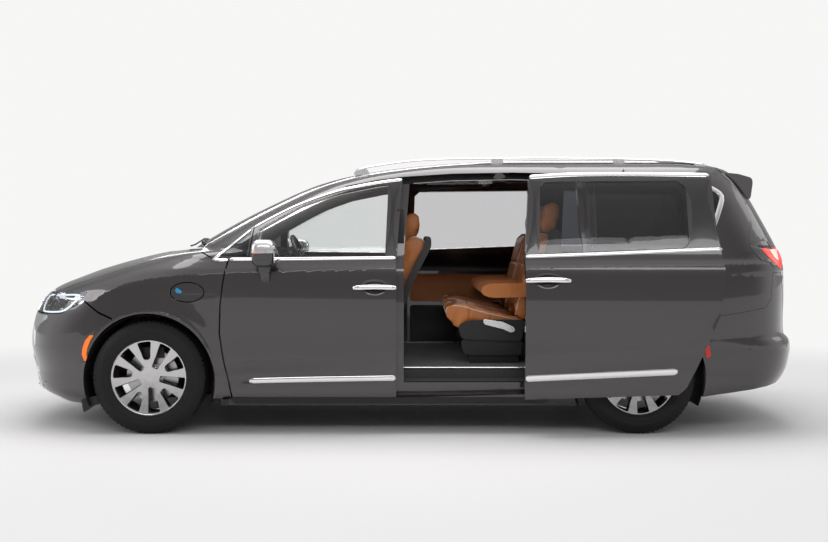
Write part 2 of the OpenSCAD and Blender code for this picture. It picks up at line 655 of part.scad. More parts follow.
module battery_pack() black() difference() {
    block(px(-480), px(760), -py(555), py(555), pz(205), floor_z - floor_t - 4);
    for (s = [-1, 1]) translate([px(-480) - 1, s * py(555), pz(205)]) rotate([0, 90, 0])
        rotate([0, 0, 45]) translate([-25, -25, 0]) cube([50, 50, px(760) - px(-480) + 2]);
}
pipe_y = -py(620);
module exhaust() metal() {
    translate([px(1000), pipe_y, pz(262)]) rotate([0, -90, 0]) cylinder(r = 27, h = px(1000) - px(-1880), $fn = 40);
    translate([px(-1870), pipe_y + 130, pz(285)]) rotate([0, -90, 0]) linear_extrude(px(-1870) - px(-2240))
        offset(r = 40) square([60, 220], center = true);
    translate([px(-2230), pipe_y + 60, pz(262)]) rotate([0, -90, 0]) cylinder(r = 30, h = 170, $fn = 40);
}

// ---- Cabin ----
module across_y(points, y0, y1) translate([0, y1, 0]) rotate([90, 0, 0]) linear_extrude(y1 - y0) polygon(points);
module dashboard() black() {
    across_y(flat([[1136, 620], [1136, 1104], [1040, 1140], [880, 1132], [812, 1085], [795, 960],
        [850, 830], [980, 640]]), -py(752), py(752));
    translate(wheel_centre) rotate([0, 90 + column_tilt, 0]) translate([0, 0, 52]) cylinder(r = 44, h = 110, $fn = 48);
}
column_tilt = 25;
wheel_centre = [px(700), py(390), pz(1090)];
module steering_wheel() black() translate(wheel_centre) rotate([0, 90 + column_tilt, 0]) {
    rotate_extrude($fn = 72) translate([steering_r - 15, 0]) circle(15, $fn = 12);
    translate([0, 0, -12]) cylinder(r = 62, h = 34, $fn = 48);
    translate([0, 0, 20]) cylinder(r = 30, h = 25, $fn = 40);
    for (a = [0, 110, 250]) rotate([0, 0, a]) translate([40, -14, -6]) cube([steering_r - 55, 28, 14]);
}
module console() black() across_y(flat([[60, 401], [60, 660], [120, 690], [560, 705], [760, 790],
    [790, 830], [870, 700], [870, 401]]), -py(115), py(115));
module seat(cushion, back, head, y, w) translate([0, y, 0]) {
    across_y(flat(cushion), -w / 2, w / 2);
    across_y(flat(back), -w / 2 + 10, w / 2 - 10);
    across_y(flat(head), -130, 130);
}
module front_seats() leather() for (s = [-1, 1]) seat(
    [[560, 400], [570, 620], [610, 700], [600, 760], [510, 775], [150, 715], [90, 640], [110, 400]],
    [[150, 715], [90, 640], [50, 700], [-30, 940], [-155, 1180], [-155, 1232], [-70, 1262], [0, 1235],
        [72, 1000]],
    [[-60, 1255], [-84, 1340], [-62, 1402], [-12, 1412], [34, 1375], [34, 1290], [-2, 1232]], s * py(395), seat_w);
module middle_seats() leather() for (s = [-1, 1]) seat(
    [[-330, 400], [-320, 640], [-262, 720], [-270, 790], [-350, 800], [-700, 705], [-780, 640], [-760, 400]],
    [[-700, 705], [-780, 640], [-860, 700], [-1010, 1240], [-990, 1290], [-900, 1300], [-850, 1240]],
    [[-990, 1288], [-1040, 1450], [-1000, 1480], [-930, 1450], [-905, 1300]], s * py(420), seat_w);
module rear_bench() leather() {
    across_y(flat([[-1290, 400], [-1270, 640], [-1230, 740], [-1280, 770], [-1680, 700], [-1760, 640],
        [-1760, 400]]), -py(600), py(600));
    across_y(flat([[-1676, 690], [-1756, 630], [-1850, 700], [-1960, 1200], [-1900, 1260], [-1820, 1220]]),
        -py(600), py(600));
    for (s = [-1, 0, 1]) across_y(flat([[-1955, 1215], [-1990, 1380], [-1940, 1400], [-1890, 1370],
        [-1850, 1250]]), s * py(400) - 120, s * py(400) + 120);
}

body_side(1);  // body_side_left
body_side(-1);  // body_side_right
roof_panel();
floor_pan();
bulkhead();
cowl();
front_fenders();
front_bumper();
grille();
headlamps();
windscreen();
hood();
tailgate();
tailgate_glass();
rear_bumper();
tail_lamps();
front_door(1);  // front_door_left
front_door(-1);  // front_door_right
front_door_glass(1);  // front_door_glass_left
front_door_glass(-1);  // front_door_glass_right
door_mirror(1);  // mirror_left
door_mirror(-1);  // mirror_right
sliding_door_left();
sliding_door_right();
sliding_door_glass();
fixed_side_glass();
roof_rails();
dashboard();
console();
front_seats();
middle_seats();
rear_bench();
steering_wheel();
engine();
front_subframe();
rear_axle();
battery_pack();
exhaust();
knuckle(1);  // knuckle_left
knuckle(-1);  // knuckle_right
charge_port_door();
tyre(front_axle, 1);  // tyre_front_left
tyre(front_axle, -1);  // tyre_front_right
tyre(rear_axle_x, 1);  // tyre_rear_left
tyre(rear_axle_x, -1);  // tyre_rear_right
rim(front_axle, 1);  // rim_front_left
rim(front_axle, -1);  // rim_front_right
rim(rear_axle_x, 1);  // rim_rear_left
rim(rear_axle_x, -1);  // rim_rear_right
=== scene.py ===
"""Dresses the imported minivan: paint, glass, lamps, wheels, cabin and studio."""
import math

import bmesh
import bpy
import numpy as np
from mathutils import Matrix, Vector
from mathutils.bvhtree import BVHTree
from mathutils.geometry import delaunay_2d_cdt as delaunay


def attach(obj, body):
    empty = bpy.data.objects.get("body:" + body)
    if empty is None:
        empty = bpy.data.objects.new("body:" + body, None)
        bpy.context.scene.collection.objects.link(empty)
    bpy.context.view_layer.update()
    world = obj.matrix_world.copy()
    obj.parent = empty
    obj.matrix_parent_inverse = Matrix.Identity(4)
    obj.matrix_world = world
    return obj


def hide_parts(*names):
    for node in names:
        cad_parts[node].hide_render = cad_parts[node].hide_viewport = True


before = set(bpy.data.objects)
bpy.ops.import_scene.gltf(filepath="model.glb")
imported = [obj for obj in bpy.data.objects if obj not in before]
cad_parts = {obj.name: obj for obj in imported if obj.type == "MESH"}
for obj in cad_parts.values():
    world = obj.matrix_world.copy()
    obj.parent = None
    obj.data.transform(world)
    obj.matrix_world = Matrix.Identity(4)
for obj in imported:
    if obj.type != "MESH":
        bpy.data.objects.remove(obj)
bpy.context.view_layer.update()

bl_info = {
    "name": "Minivan finish",
    "version": (1, 0, 0),
    "blender": (4, 5, 0),
    "location": "3D View > Sidebar > Minivan",
    "description": "Builds the finished panels, glass, wheels and cabin of a minivan on its packed frame",
    "category": "Object",
}

MM = 0.001


# ---- Shader maths ----
class Value:
    """A shader socket that can be used in a sum, product, power or comparison."""

    def __init__(self, shader, socket):
        self.shader = shader
        self.socket = socket

    def maths(self, operation, *terms):
        """A Math node on these terms."""
        return self.shader.node("Math", {"operation": operation}, dict(enumerate(terms)))

    def __add__(self, other):
        return self.maths("ADD", self, other)

    def __sub__(self, other):
        return self.maths("SUBTRACT", self, other)

    def __mul__(self, other):
        return self.maths("MULTIPLY", self, other)

    def __pow__(self, other):
        return self.maths("POWER", self, other)

    def __lt__(self, other):
        return self.maths("LESS_THAN", self, other)

    __radd__ = __add__
    __rmul__ = __mul__


class Shader:
    """A material under construction."""

    def __init__(self, name, tree=None):
        if tree is None:
            self.material = bpy.data.materials.new(name)
            self.material.use_nodes = True
            tree = self.material.node_tree
        self.tree = tree
        tree.nodes.clear()

    def node(self, kind, settings=None, inputs=None, output=0):
        """One node of a kind, its settings first and then its sockets' values or links."""
        node = self.tree.nodes.new("ShaderNode" + kind)
        for key, value in (settings or {}).items():
            setattr(node, key, value)
        for key, value in (inputs or {}).items():
            if isinstance(value, Value):
                self.tree.links.new(value.socket, node.inputs[key])
            elif isinstance(value, tuple) and len(value) == 3 and node.inputs[key].type == "RGBA":
                node.inputs[key].default_value = (*value, 1)
            else:
                node.inputs[key].default_value = value
        return Value(self, node.outputs[output] if len(node.outputs) else None)

    def place(self, scale=(1, 1, 1), turn=(0, 0, 0)):
        """Object coordinates, scaled and turned."""
        where = self.node("TexCoord", output=3)
        return self.node("Mapping", None, {"Vector": where, "Rotation": turn, "Scale": scale})

    def axis(self, index):
        """One of the three Object coordinates, in metres."""
        return self.node("SeparateXYZ", None, {0: self.node("TexCoord", output=3)}, index)

    def noise(self, scale, detail=3.0, rough=0.5, **stretch):
        """Noise from 0 to 1."""
        return self.node("TexNoise", None, {"Vector": self.place(**stretch), "Scale": scale,
                                           "Detail": detail, "Roughness": rough})

    def cells(self, scale, feature="F1", **stretch):
        """Distance from a scatter of points."""
        return self.node("TexVoronoi", {"feature": feature}, {"Vector": self.place(**stretch), "Scale": scale})

    def between(self, factor, low, high):
        """A colour between two, by factor."""
        return self.node("Mix", {"data_type": "RGBA"}, {0: factor, 6: low, 7: high}, 2)

    def bump(self, height, distance, strength=1.0):
        """The normal of a surface with this height."""
        return self.node("Bump", None, {"Height": height, "Distance": distance, "Strength": strength})

    def finish(self, shader):
        """Sends a shader to the material's output."""
        self.node("OutputMaterial", None, {0: shader})
        return self.material

    def surface(self, **inputs):
        """A Principled surface. Names use _ for a space."""
        sockets = {key.replace("_", " "): value for key, value in inputs.items()}
        return self.finish(self.node("BsdfPrincipled", None, sockets))


def lit(colour, factor):
    """A colour made lighter or darker."""
    return tuple(min(1.0, c * factor) for c in colour)


# ---- The body's outer surface, the same as the frame's: plan curves stacked in height, in mm ----
NOSE_X = [(160, 2390), (215, 2500), (260, 2545), (380, 2560), (480, 2580), (545, 2588.5), (640, 2578),
          (750, 2540), (830, 2490), (880, 2440), (930, 2350), (985, 2200), (1050, 2000), (1105, 1800),
          (1140, 1640), (1165, 1470), (1200, 1405), (1300, 1235), (1400, 1050), (1500, 845), (1550, 735),
          (1600, 605), (1650, 420), (1690, 190), (1720, -60), (1745, -400), (1762, -750), (1770, -1000)]
TAIL_X = [(160, 2340), (235, 2440), (290, 2510), (370, 2562), (470, 2584), (545, 2588.5), (580, 2572),
          (610, 2545), (700, 2538), (850, 2542), (1000, 2540), (1080, 2528), (1150, 2500), (1250, 2452),
          (1400, 2375), (1500, 2322), (1600, 2262), (1650, 2222), (1690, 2160), (1720, 2060), (1740, 1930),
          (1755, 1750), (1765, 1500), (1770, 1000)]
SIDE_Y = [(160, 920), (200, 945), (240, 962), (300, 972), (360, 978), (420, 992), (500, 1003), (620, 1009),
          (760, 1011), (900, 1008), (990, 1000), (1040, 990), (1080, 972), (1110, 958), (1200, 930),
          (1300, 899), (1400, 866), (1500, 832), (1600, 793), (1650, 765), (1690, 722), (1720, 660),
          (1740, 590), (1755, 480), (1765, 330), (1770, 0)]
NOSE_LENGTH = [(880, 1840), (1050, 1400), (1105, 1200), (1165, 1000), (1200, 1000), (1650, 900), (1770, 850)]
FRONT_AXLE, REAR_AXLE, ARCH_Z, ARCH_R = 1618.5, -1470.5, 344.5, 420.0
LOWEST, HIGHEST = 160, 1769.9
WIDTH_POWER, TAIL_WIDTH_POWER = 2.5, 3.5
NEARLY_ALL = 0.9999


def curve(table, k):
    """The smooth curve through a table's points, at k."""
    t = np.array(table, float)
    k = np.clip(k, t[0, 0], t[-1, 0])
    i = np.clip(np.searchsorted(t[:, 0], k, side="right") - 1, 0, len(t) - 2)
    lo, hi = np.maximum(np.arange(len(t)) - 1, 0), np.minimum(np.arange(len(t)) + 1, len(t) - 1)
    slope = (t[hi, 1] - t[lo, 1]) / (t[hi, 0] - t[lo, 0])
    h = t[i + 1, 0] - t[i, 0]
    u = (k - t[i, 0]) / h
    return (t[i, 1] * (1 + 2 * u) * (1 - u) ** 2 + t[i + 1, 1] * u * u * (3 - 2 * u)
            + h * u * (1 - u) * ((1 - u) * slope[i] - u * slope[i + 1]))


def plan_at(z):
    """The body's plan curve at a height: half width, front, middle, nose and tail lengths, and the powers of
    the nose and the tail."""
    z = np.clip(z, LOWEST, HIGHEST)
    front, middle = curve(NOSE_X, z), np.interp(z, [1650, 1690], [-600, -1000])
    nose = np.minimum(np.where(z < 880, front - 600, curve(NOSE_LENGTH, z)), front - middle - 20)
    return (curve(SIDE_Y, z), front, middle, nose, curve(TAIL_X, z) + middle,
            np.interp(z, [1100, 1200], [5, 6]), np.interp(z, [1000, 1150], [8, 10]))


def body_level(p):
    """Below 0 inside the body's plan curve at a point's height, and above 0 outside it."""
    x, y = p[:, 0], np.abs(p[:, 1])
    width, front, middle, nose, tail, nose_power, tail_power = plan_at(p[:, 2])
    ahead = np.clip((x - front + nose) / nose, 0, None)
    behind = np.clip((middle - x) / tail, 0, None)
    along = np.where(behind > 0, behind ** tail_power, ahead ** nose_power)
    return (y / np.maximum(width, 5)) ** np.where(behind > 0, TAIL_WIDTH_POWER, WIDTH_POWER) + along - 1


def gradient(field, p, h=0.6):
    """The slope of a field along X, Y and Z."""
    steps = np.eye(3) * h
    return np.stack([(field(p + s) - field(p - s)) / (2 * h) for s in steps], 1)


def body_normal(p):
    """The outward direction of the smooth body near p."""
    q = p.copy()
    q[:, 1] = np.where(q[:, 1] < 0, -1, 1) * np.maximum(np.abs(q[:, 1]), 60)
    n = gradient(body_level, q)
    n[:, 1] *= np.abs(p[:, 1]) / np.abs(q[:, 1])
    n[:, 2] = np.where((p[:, 2] > 1700) & (np.abs(n).sum(1) < 1e-9), 1, n[:, 2])
    return n / np.maximum(np.linalg.norm(n, axis=1, keepdims=True), 1e-12)


def body_depth(p):
    """How far p stands out of the smooth body, about, in mm."""
    slope = np.linalg.norm(gradient(body_level, p), axis=1)
    return np.clip(body_level(p) / np.maximum(slope, 1e-7), -500, 500)


# ---- What is pressed into the panels: creases, arch lips and hollows, in mm out of the smooth body ----
SHOULDER = [(-2600, 1070), (-1700, 1066), (-700, 1058), (200, 1045), (1140, 1017), (1400, 1002), (1620, 978),
            (1760, 950), (1880, 900), (1980, 836), (2300, 820)]
WAIST = [(-2500, 640), (-1100, 600), (-600, 560), (1000, 470), (1200, 440)]
HOOD_LINE = [(1400, 600), (2000, 480), (2400, 330)]


HANDLE_CUPS = ((193, 925), (-91, 973))


def bell(d, width):
    """1 at d = 0, falling smoothly over a width."""
    return np.exp(-(d / width) ** 2)


def ridge(d, above, below):
    """A sharp line at d = 0 that falls away at its own rate above and below."""
    return np.exp(-np.abs(d) / np.where(d > 0, above, below))


def pressing(p):
    """How far the panels stand out of the smooth body."""
    x, y, z = p[:, 0], np.abs(p[:, 1]), p[:, 2]
    side = np.clip((y - 700) / 120, 0, 1) * np.clip((1140 - z) / 60, 0, 1)
    d = 9 * ridge(z - np.interp(x, *zip(*SHOULDER)), 30, 80) * side * np.clip((2100 - x) / 150, 0, 1)
    for at, level in HANDLE_CUPS:
        d -= 15 * bell(np.hypot((x - at) / 62, (z - level) / 34) ** 1.5, 1.0) * side
    waist = np.interp(x, *zip(*WAIST))
    hollow = np.clip((1300 - x) / 300, 0, 1) * np.clip((x + 1350) / 350, 0, 1)
    d -= 13 * bell(z - waist + 95, 70) * side * hollow
    d += 3.5 * ridge(z - waist, 30, 12) * side * hollow
    for axle in (FRONT_AXLE, REAR_AXLE):
        r = np.hypot(x - axle, z - ARCH_Z) - ARCH_R
        d += (7 * ridge(r - 12, 12, 60) + 4 * bell(r - 45, 45)) * np.clip((y - 760) / 120, 0, 1)
    top = np.clip((z - 960) / 60, 0, 1) * np.clip((x - 1440) / 120, 0, 1) * np.clip((900 - y) / 90, 0, 1)
    d += 6 * ridge(y - np.interp(x, *zip(*HOOD_LINE)), 60, 110) * top
    tail = np.clip((-2100 - x) / 200, 0, 1) * np.clip((900 - y) / 120, 0, 1)
    d -= 9 * bell(z - 700, 90) * np.clip((360 - y) / 40, 0, 1) * tail
    return d


def press_size(p):
    """The longest edge that shows a panel's pressing at p."""
    x, y, z = p[:, 0], np.abs(p[:, 1]), p[:, 2]
    crease = np.abs(z - np.interp(x, *zip(*SHOULDER)))
    crease = np.minimum(crease, np.abs(z - np.interp(x, *zip(*WAIST))))
    for axle in (FRONT_AXLE, REAR_AXLE):
        crease = np.minimum(crease, np.abs(np.hypot(x - axle, z - ARCH_Z) - ARCH_R - 10) + 4)
    for at, level in HANDLE_CUPS:
        crease = np.minimum(crease, np.abs(np.hypot(x - at, (z - level) * 1.6) - 60) * 0.6)
    crease = np.where(z < 1120, crease, 200)
    hood = np.where((z > 940) & (x > 1400), np.abs(y - np.interp(x, *zip(*HOOD_LINE))), 200)
    return np.clip(np.minimum(crease, hood) * 0.62, 18, 60)


def split_long(v, t, limit):
    """Triangles t on points v, with the longest edges halved until none is over its limit."""
    for _ in range(24):
        if not len(t):
            break
        e = np.sort(np.stack([t, np.roll(t, -1, 1)], 2).reshape(-1, 2), 1)
        pairs, index = np.unique(e, axis=0, return_inverse=True)
        index = index.reshape(-1, 3)
        length = np.linalg.norm((v[pairs[:, 0]] - v[pairs[:, 1]])[:, :3], axis=1)
        over = length > limit(0.5 * (v[pairs[:, 0]] + v[pairs[:, 1]])[:, :3])
        longest = index[np.arange(len(t)), length[index].argmax(1)]
        cut = np.zeros(len(pairs), bool)
        cut[longest[over[longest]]] = True
        if not cut.any():
            break
        new = np.full(len(pairs), -1)
        new[cut] = len(v) + np.arange(cut.sum())
        v = np.vstack([v, 0.5 * (v[pairs[cut, 0]] + v[pairs[cut, 1]])])
        m = new[index]
        count = (m >= 0).sum(1)
        out = [t[count == 0]]
        for k in range(3):
            a, b, c = t[:, k], t[:, (k + 1) % 3], t[:, (k + 2) % 3]
            ab, bc, ca = m[:, k], m[:, (k + 1) % 3], m[:, (k + 2) % 3]
            one = (count == 1) & (ab >= 0)
            out += [np.stack([a, ab, c], 1)[one], np.stack([ab, b, c], 1)[one]]
            two = (count == 2) & (ca < 0)
            out += [np.stack([ab, b, bc], 1)[two], np.stack([a, ab, bc], 1)[two], np.stack([a, bc, c], 1)[two]]
        three = count == 3
        a, b, c, ab, bc, ca = t[three, 0], t[three, 1], t[three, 2], m[three, 0], m[three, 1], m[three, 2]
        out += [np.stack(q, 1) for q in ((a, ab, ca), (ab, b, bc), (ca, bc, c), (ab, bc, ca))]
        t = np.vstack(out)
    return v, t


# ---- Making pieces ----
def new_piece(name, mesh, body, slot, *finishes, stands_for=()):
    """A finished piece that rides on a body, in the finishes given. Its slot is not used."""
    piece = bpy.data.objects.new(name, mesh)
    bpy.context.scene.collection.objects.link(piece)
    if finishes:
        mesh.materials.clear()
    for finish in finishes:
        mesh.materials.append(FINISHES[finish])
    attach(piece, body)
    if stands_for:
        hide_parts(*stands_for)
    return piece


def mesh_from(name, points, faces, smooth=True):
    """A mesh from points in metres."""
    mesh = bpy.data.meshes.new(name)
    mesh.from_pydata([tuple(p) for p in points], [], [tuple(f) for f in faces])
    mesh.update()
    mesh.polygons.foreach_set("use_smooth", np.full(len(mesh.polygons), smooth))
    return mesh


def cad_triangles(node):
    """A CAD node's points in mm, merged, and its triangles."""
    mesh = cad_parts[node].data
    v = np.empty(len(mesh.vertices) * 3)
    mesh.vertices.foreach_get("co", v)
    mesh.calc_loop_triangles()
    t = np.empty(len(mesh.loop_triangles) * 3, int)
    mesh.loop_triangles.foreach_get("vertices", t)
    v = v.reshape(-1, 3) / MM
    keys, first, index = np.unique(np.round(v / 0.02).astype(int), axis=0, return_index=True,
                                   return_inverse=True)
    t = index.reshape(-1)[t.reshape(-1, 3)]
    t = t[(t[:, 0] != t[:, 1]) & (t[:, 1] != t[:, 2]) & (t[:, 2] != t[:, 0])]
    return v[first], t


def face_normals(v, t):
    """Unit normals of triangles."""
    n = np.cross(v[t[:, 1]] - v[t[:, 0]], v[t[:, 2]] - v[t[:, 0]])
    return n / np.maximum(np.linalg.norm(n, axis=1, keepdims=True), 1e-12)


PANEL_REACH, GATE_REACH, INNER_DEPTH = 26.0, 9.0, 13
FACING_OUT, CREASE = 0.75, 32


def laid_shell(node, limit=press_size, pressed=True, reach=PANEL_REACH, shift=None):
    """A copy of a CAD shell with its facets laid on the smooth body and its creases pressed in. Its outer faces
    have its first material and those deep inside it the second."""
    v, t = cad_triangles(node)
    moved = np.zeros_like(v) if shift is None else shift(v)
    v, t = split_long(np.hstack([v - moved, moved]), t, limit)
    v, moved = v[:, :3], v[:, 3:]
    out_way = body_normal(v[t].mean(1))
    faces_out = (face_normals(v, t) * out_way).sum(1)
    deep = body_depth(v[t].mean(1))
    skin = t[(faces_out > FACING_OUT) & (deep > -reach)]
    outer = np.zeros(len(v), bool)
    outer[skin.ravel()] = True
    for _ in range(4):
        q = v[outer]
        g = gradient(body_level, q)
        step = body_level(q)[:, None] * g / np.maximum((g ** 2).sum(1, keepdims=True), 1e-12)
        size = np.linalg.norm(step, axis=1, keepdims=True)
        v[outer] = q - step * np.minimum(1, reach / np.maximum(size, 1e-9))
    n = body_normal(v)
    if pressed:
        bent = gradient(pressing, v)
        bent -= (bent * n).sum(1, keepdims=True) * n
        d = pressing(v)
        v = v + n * np.where(outer, d, 0)[:, None]
        n = np.where(outer[:, None], n - bent, n)
        n /= np.linalg.norm(n, axis=1, keepdims=True)
    mesh = mesh_from(node + "_shell", (v + moved) * MM, t)
    mesh.set_sharp_from_angle(angle=math.radians(CREASE))
    own = np.empty(len(mesh.loops) * 3)
    mesh.corner_normals.foreach_get("vector", own)
    corner = n[t]
    along = (corner * face_normals(v, t)[:, None]).sum(2)[..., None]
    corner = np.where(np.abs(along) > 0.8, corner * np.sign(along), own.reshape(-1, 3, 3))
    mesh.normals_split_custom_set(corner.reshape(-1, 3).tolist())
    mesh.polygons.foreach_set("material_index", (deep < -INNER_DEPTH).astype(np.int32))
    return mesh


def side_half_width(x, z):
    """The smooth body's half width at a place in side view."""
    width, front, middle, nose, tail, nose_power, tail_power = plan_at(z)
    ahead = np.clip((x - front + nose) / nose, 0, NEARLY_ALL) ** nose_power
    behind = np.clip((middle - x) / tail, 0, NEARLY_ALL) ** tail_power
    return width * np.where(x < middle, (1 - behind) ** (1 / TAIL_WIDTH_POWER), (1 - ahead) ** (1
                                                                                                / WIDTH_POWER))


def end_reach(s, y, z):
    """How far ahead (s = 1) or behind (s = -1) the smooth body reaches at a place in end view."""
    width, front, middle, nose, tail, nose_power, tail_power = plan_at(z)
    across = np.clip(np.abs(y) / width, 0, NEARLY_ALL)
    if s > 0:
        return front - nose + nose * (1 - across ** WIDTH_POWER) ** (1 / nose_power)
    return middle - tail * (1 - across ** TAIL_WIDTH_POWER) ** (1 / tail_power)


def top_height(x, y):
    """The smooth body's height over a place in plan."""
    low, high = np.full(len(x), 850.0), np.full(len(x), HIGHEST)
    for _ in range(30):
        z = 0.5 * (low + high)
        inside = body_level(np.stack([x, y, z], 1)) < 0
        low, high = np.where(inside, z, low), np.where(inside, high, z)
    return low


def laid(flat, view, out=0.0, shift=(0, 0, 0)):
    """Places in a flat view laid on the pressed body, and the directions out of it. The view is left, right,
    nose, tail or top."""
    a, b = np.array(flat, float).T
    if view in ("left", "right"):
        s = 1 if view == "left" else -1
        p = np.stack([a, s * side_half_width(a, b), b], 1)
    elif view == "top":
        p = np.stack([a, b, top_height(a, b)], 1)
    else:
        p = np.stack([end_reach(1 if view == "nose" else -1, a, b), a, b], 1)
    n = body_normal(p)
    return p + n * (pressing(p) + out)[:, None] + np.array(shift), n


def along(line, step=24.0, closed=False):
    """Points every step along a smooth curve through a line's points."""
    q = np.array(line, float)
    last = len(q) if closed else len(q) - 1
    out = []
    for k in range(last):
        get = (lambda i: q[i % len(q)]) if closed else (lambda i: q[min(max(i, 0), len(q) - 1)])
        p0, p1, p2, p3 = get(k - 1), get(k), get(k + 1), get(k + 2)
        count = max(1, round(np.linalg.norm(p2 - p1) / step))
        for u in np.arange(count) / count:
            out.append(0.5 * (2 * p1 + (p2 - p0) * u + (2 * p0 - 5 * p1 + 4 * p2 - p3) * u * u
                              + (3 * p1 - p0 - 3 * p2 + p3) * u ** 3))
    return np.array(out if closed else out + [q[-1]])


def swept(points, normals, profile, closed=False, taper=None):
    """A moulding's points and faces. The profile runs round it as (across, out), in mm."""
    p, n = np.array(points, float), np.array(normals, float)
    ahead = np.roll(p, -1, 0) - np.roll(p, 1, 0)
    if not closed:
        ahead[0], ahead[-1] = p[1] - p[0], p[-1] - p[-2]
    ahead /= np.linalg.norm(ahead, axis=1, keepdims=True)
    across = np.cross(n, ahead)
    across /= np.maximum(np.linalg.norm(across, axis=1, keepdims=True), 1e-9)
    n = np.cross(ahead, across)
    width = np.ones(len(p)) if taper is None else taper
    k, m = len(profile), len(p)
    v = np.concatenate([p[i] + width[i] * (across[i] * a + n[i] * b) for i in range(m) for a, b in profile])
    v = v.reshape(-1, 3)
    rings = m if closed else m - 1
    faces = [(i * k + j, i * k + (j + 1) % k, (i + 1) % m * k + (j + 1) % k, (i + 1) % m * k + j)
             for i in range(rings) for j in range(k)]
    if not closed:
        faces += [tuple(range(k))[::-1], tuple((m - 1) * k + j for j in range(k))]
    return v, faces


def moulding(width, height):
    """A low rounded profile."""
    return [(-width / 2, -2), (-width / 2, 0.55 * height), (-0.36 * width, 0.9 * height), (0, height),
            (0.36 * width, 0.9 * height), (width / 2, 0.55 * height), (width / 2, -2)]


def rod(radius, sides=10):
    """A round profile."""
    return [(-radius * math.cos(2 * math.pi * k / sides), radius * math.sin(2 * math.pi * k / sides))
            for k in range(sides)]


SIDES = ((1, "left"), (-1, "right"))


def on_side(side, part):
    """A part made for the left, on this side."""
    return part if side > 0 else mirrored(part)


def joined(*parts):
    """Several (points, faces) as one."""
    v, f, at = [], [], 0
    for points, faces in parts:
        v.append(np.array(points, float))
        f += [tuple(at + i for i in face) for face in faces]
        at += len(points)
    return np.vstack(v), f


def mirrored(part):
    """(points, faces) on the other side of the vehicle."""
    v, f = part
    return np.array(v) * (1, -1, 1), [tuple(face)[::-1] for face in f]


def part_mesh(name, part, angle=40):
    """A mesh from (points in mm, faces), with outward faces and edges sharp over an angle."""
    mesh = mesh_from(name, np.array(part[0]) * MM, part[1])
    work = bmesh.new()
    work.from_mesh(mesh)
    bmesh.ops.recalc_face_normals(work, faces=work.faces)
    work.to_mesh(mesh)
    work.free()
    mesh.set_sharp_from_angle(angle=math.radians(angle))
    return mesh


def fit(name, part, body, slot, finish=None, stands_for=(), angle=40):
    """A finished piece from (points in mm, faces). Its finish is the slot's own when none is named."""
    return new_piece(name, part_mesh(name, part, angle), body, slot, finish or slot, stands_for=stands_for)


def filled(outline, holes=(), step=40.0):
    """Flat triangles in an outline with holes, none longer than a step."""
    rings = [np.array(r, float) for r in (outline, *holes)]
    points = np.vstack(rings)
    edges, at = [], 0
    for r in rings:
        edges += [(at + k, at + (k + 1) % len(r)) for k in range(len(r))]
        at += len(r)
    lo, hi = points.min(0), points.max(0)
    grid = np.array([(x, y) for x in np.arange(lo[0] + step / 2, hi[0], step)
                     for y in np.arange(lo[1] + step / 2, hi[1], step)]).reshape(-1, 2)
    keep = inside(grid, rings[0])
    for hole in rings[1:]:
        keep &= ~inside(grid, hole)
    near = np.ones(len(grid), bool)
    for a, b in edges:
        d, e = points[b] - points[a], grid - points[a]
        u = np.clip((e @ d) / max(d @ d, 1e-9), 0, 1)
        near &= np.linalg.norm(e - u[:, None] * d, axis=1) > step * 0.35
    points = np.vstack([points, grid[keep & near]])
    v, _, f, *_ = delaunay([Vector(q) for q in points], edges, [], 0, 1e-4)
    v = np.array([tuple(q) for q in v])
    f = np.array([tuple(q) for q in f])
    mid = v[f].mean(1)
    keep = inside(mid, rings[0])
    for hole in rings[1:]:
        keep &= ~inside(mid, hole)
    return v, f[keep]


def inside(points, ring):
    """Which points lie in a ring."""
    hit = np.zeros(len(points), bool)
    for a, b in zip(ring, np.roll(ring, -1, 0)):
        cross = (a[1] > points[:, 1]) != (b[1] > points[:, 1])
        if a[1] != b[1]:
            hit ^= cross & (points[:, 0] < (b[0] - a[0]) * (points[:, 1] - a[1]) / (b[1] - a[1]) + a[0])
    return hit


def border(faces):
    """The border edges of triangles, each in the order its triangle has."""
    edges = dict.fromkeys((int(f[k]), int(f[k - 2])) for f in faces for k in range(3))
    return [(a, b) for a, b in edges if (b, a) not in edges]


def slab(flat, view, out, thick, shift=(0, 0, 0), step=40.0):
    """A plate of an outline laid on the body, standing out and thick, in mm."""
    v, f = filled(flat, (), step)
    top, n = laid(v, view, out, shift)
    low = top - n * thick
    m = len(v)
    faces = [tuple(q) for q in f] + [tuple(q + m)[::-1] for q in f]
    faces += [(b, a, a + m, b + m) for a, b in border(f)]
    return np.vstack([top, low]), faces


def turned(profile, steps=96):
    """(points, faces) of a closed profile of (radius, height), turned about the upright axis."""
    k = len(profile)
    v = [(r * math.cos(a), r * math.sin(a), h) for a in np.arange(steps) * 2 * math.pi / steps for r,
         h in profile]
    faces = [(i * k + j, (i + 1) % steps * k + j, (i + 1) % steps * k + (j + 1) % k, i * k + (j + 1) % k)
             for i in range(steps) for j in range(k)]
    return np.array(v), faces


# ---- Sizes and colours a user would change ----
def colour(name, what, value):
    """A colour setting."""
    return bpy.props.FloatVectorProperty(name=name, description=what, default=value, size=3, subtype="COLOR",
                                         min=0, max=1)


def size(name, what, value, low=0.0, high=2.0):
    """A length setting, in metres."""
    return bpy.props.FloatProperty(name=name, description=what, default=value, min=low, max=high,
                                   subtype="DISTANCE", unit="LENGTH")


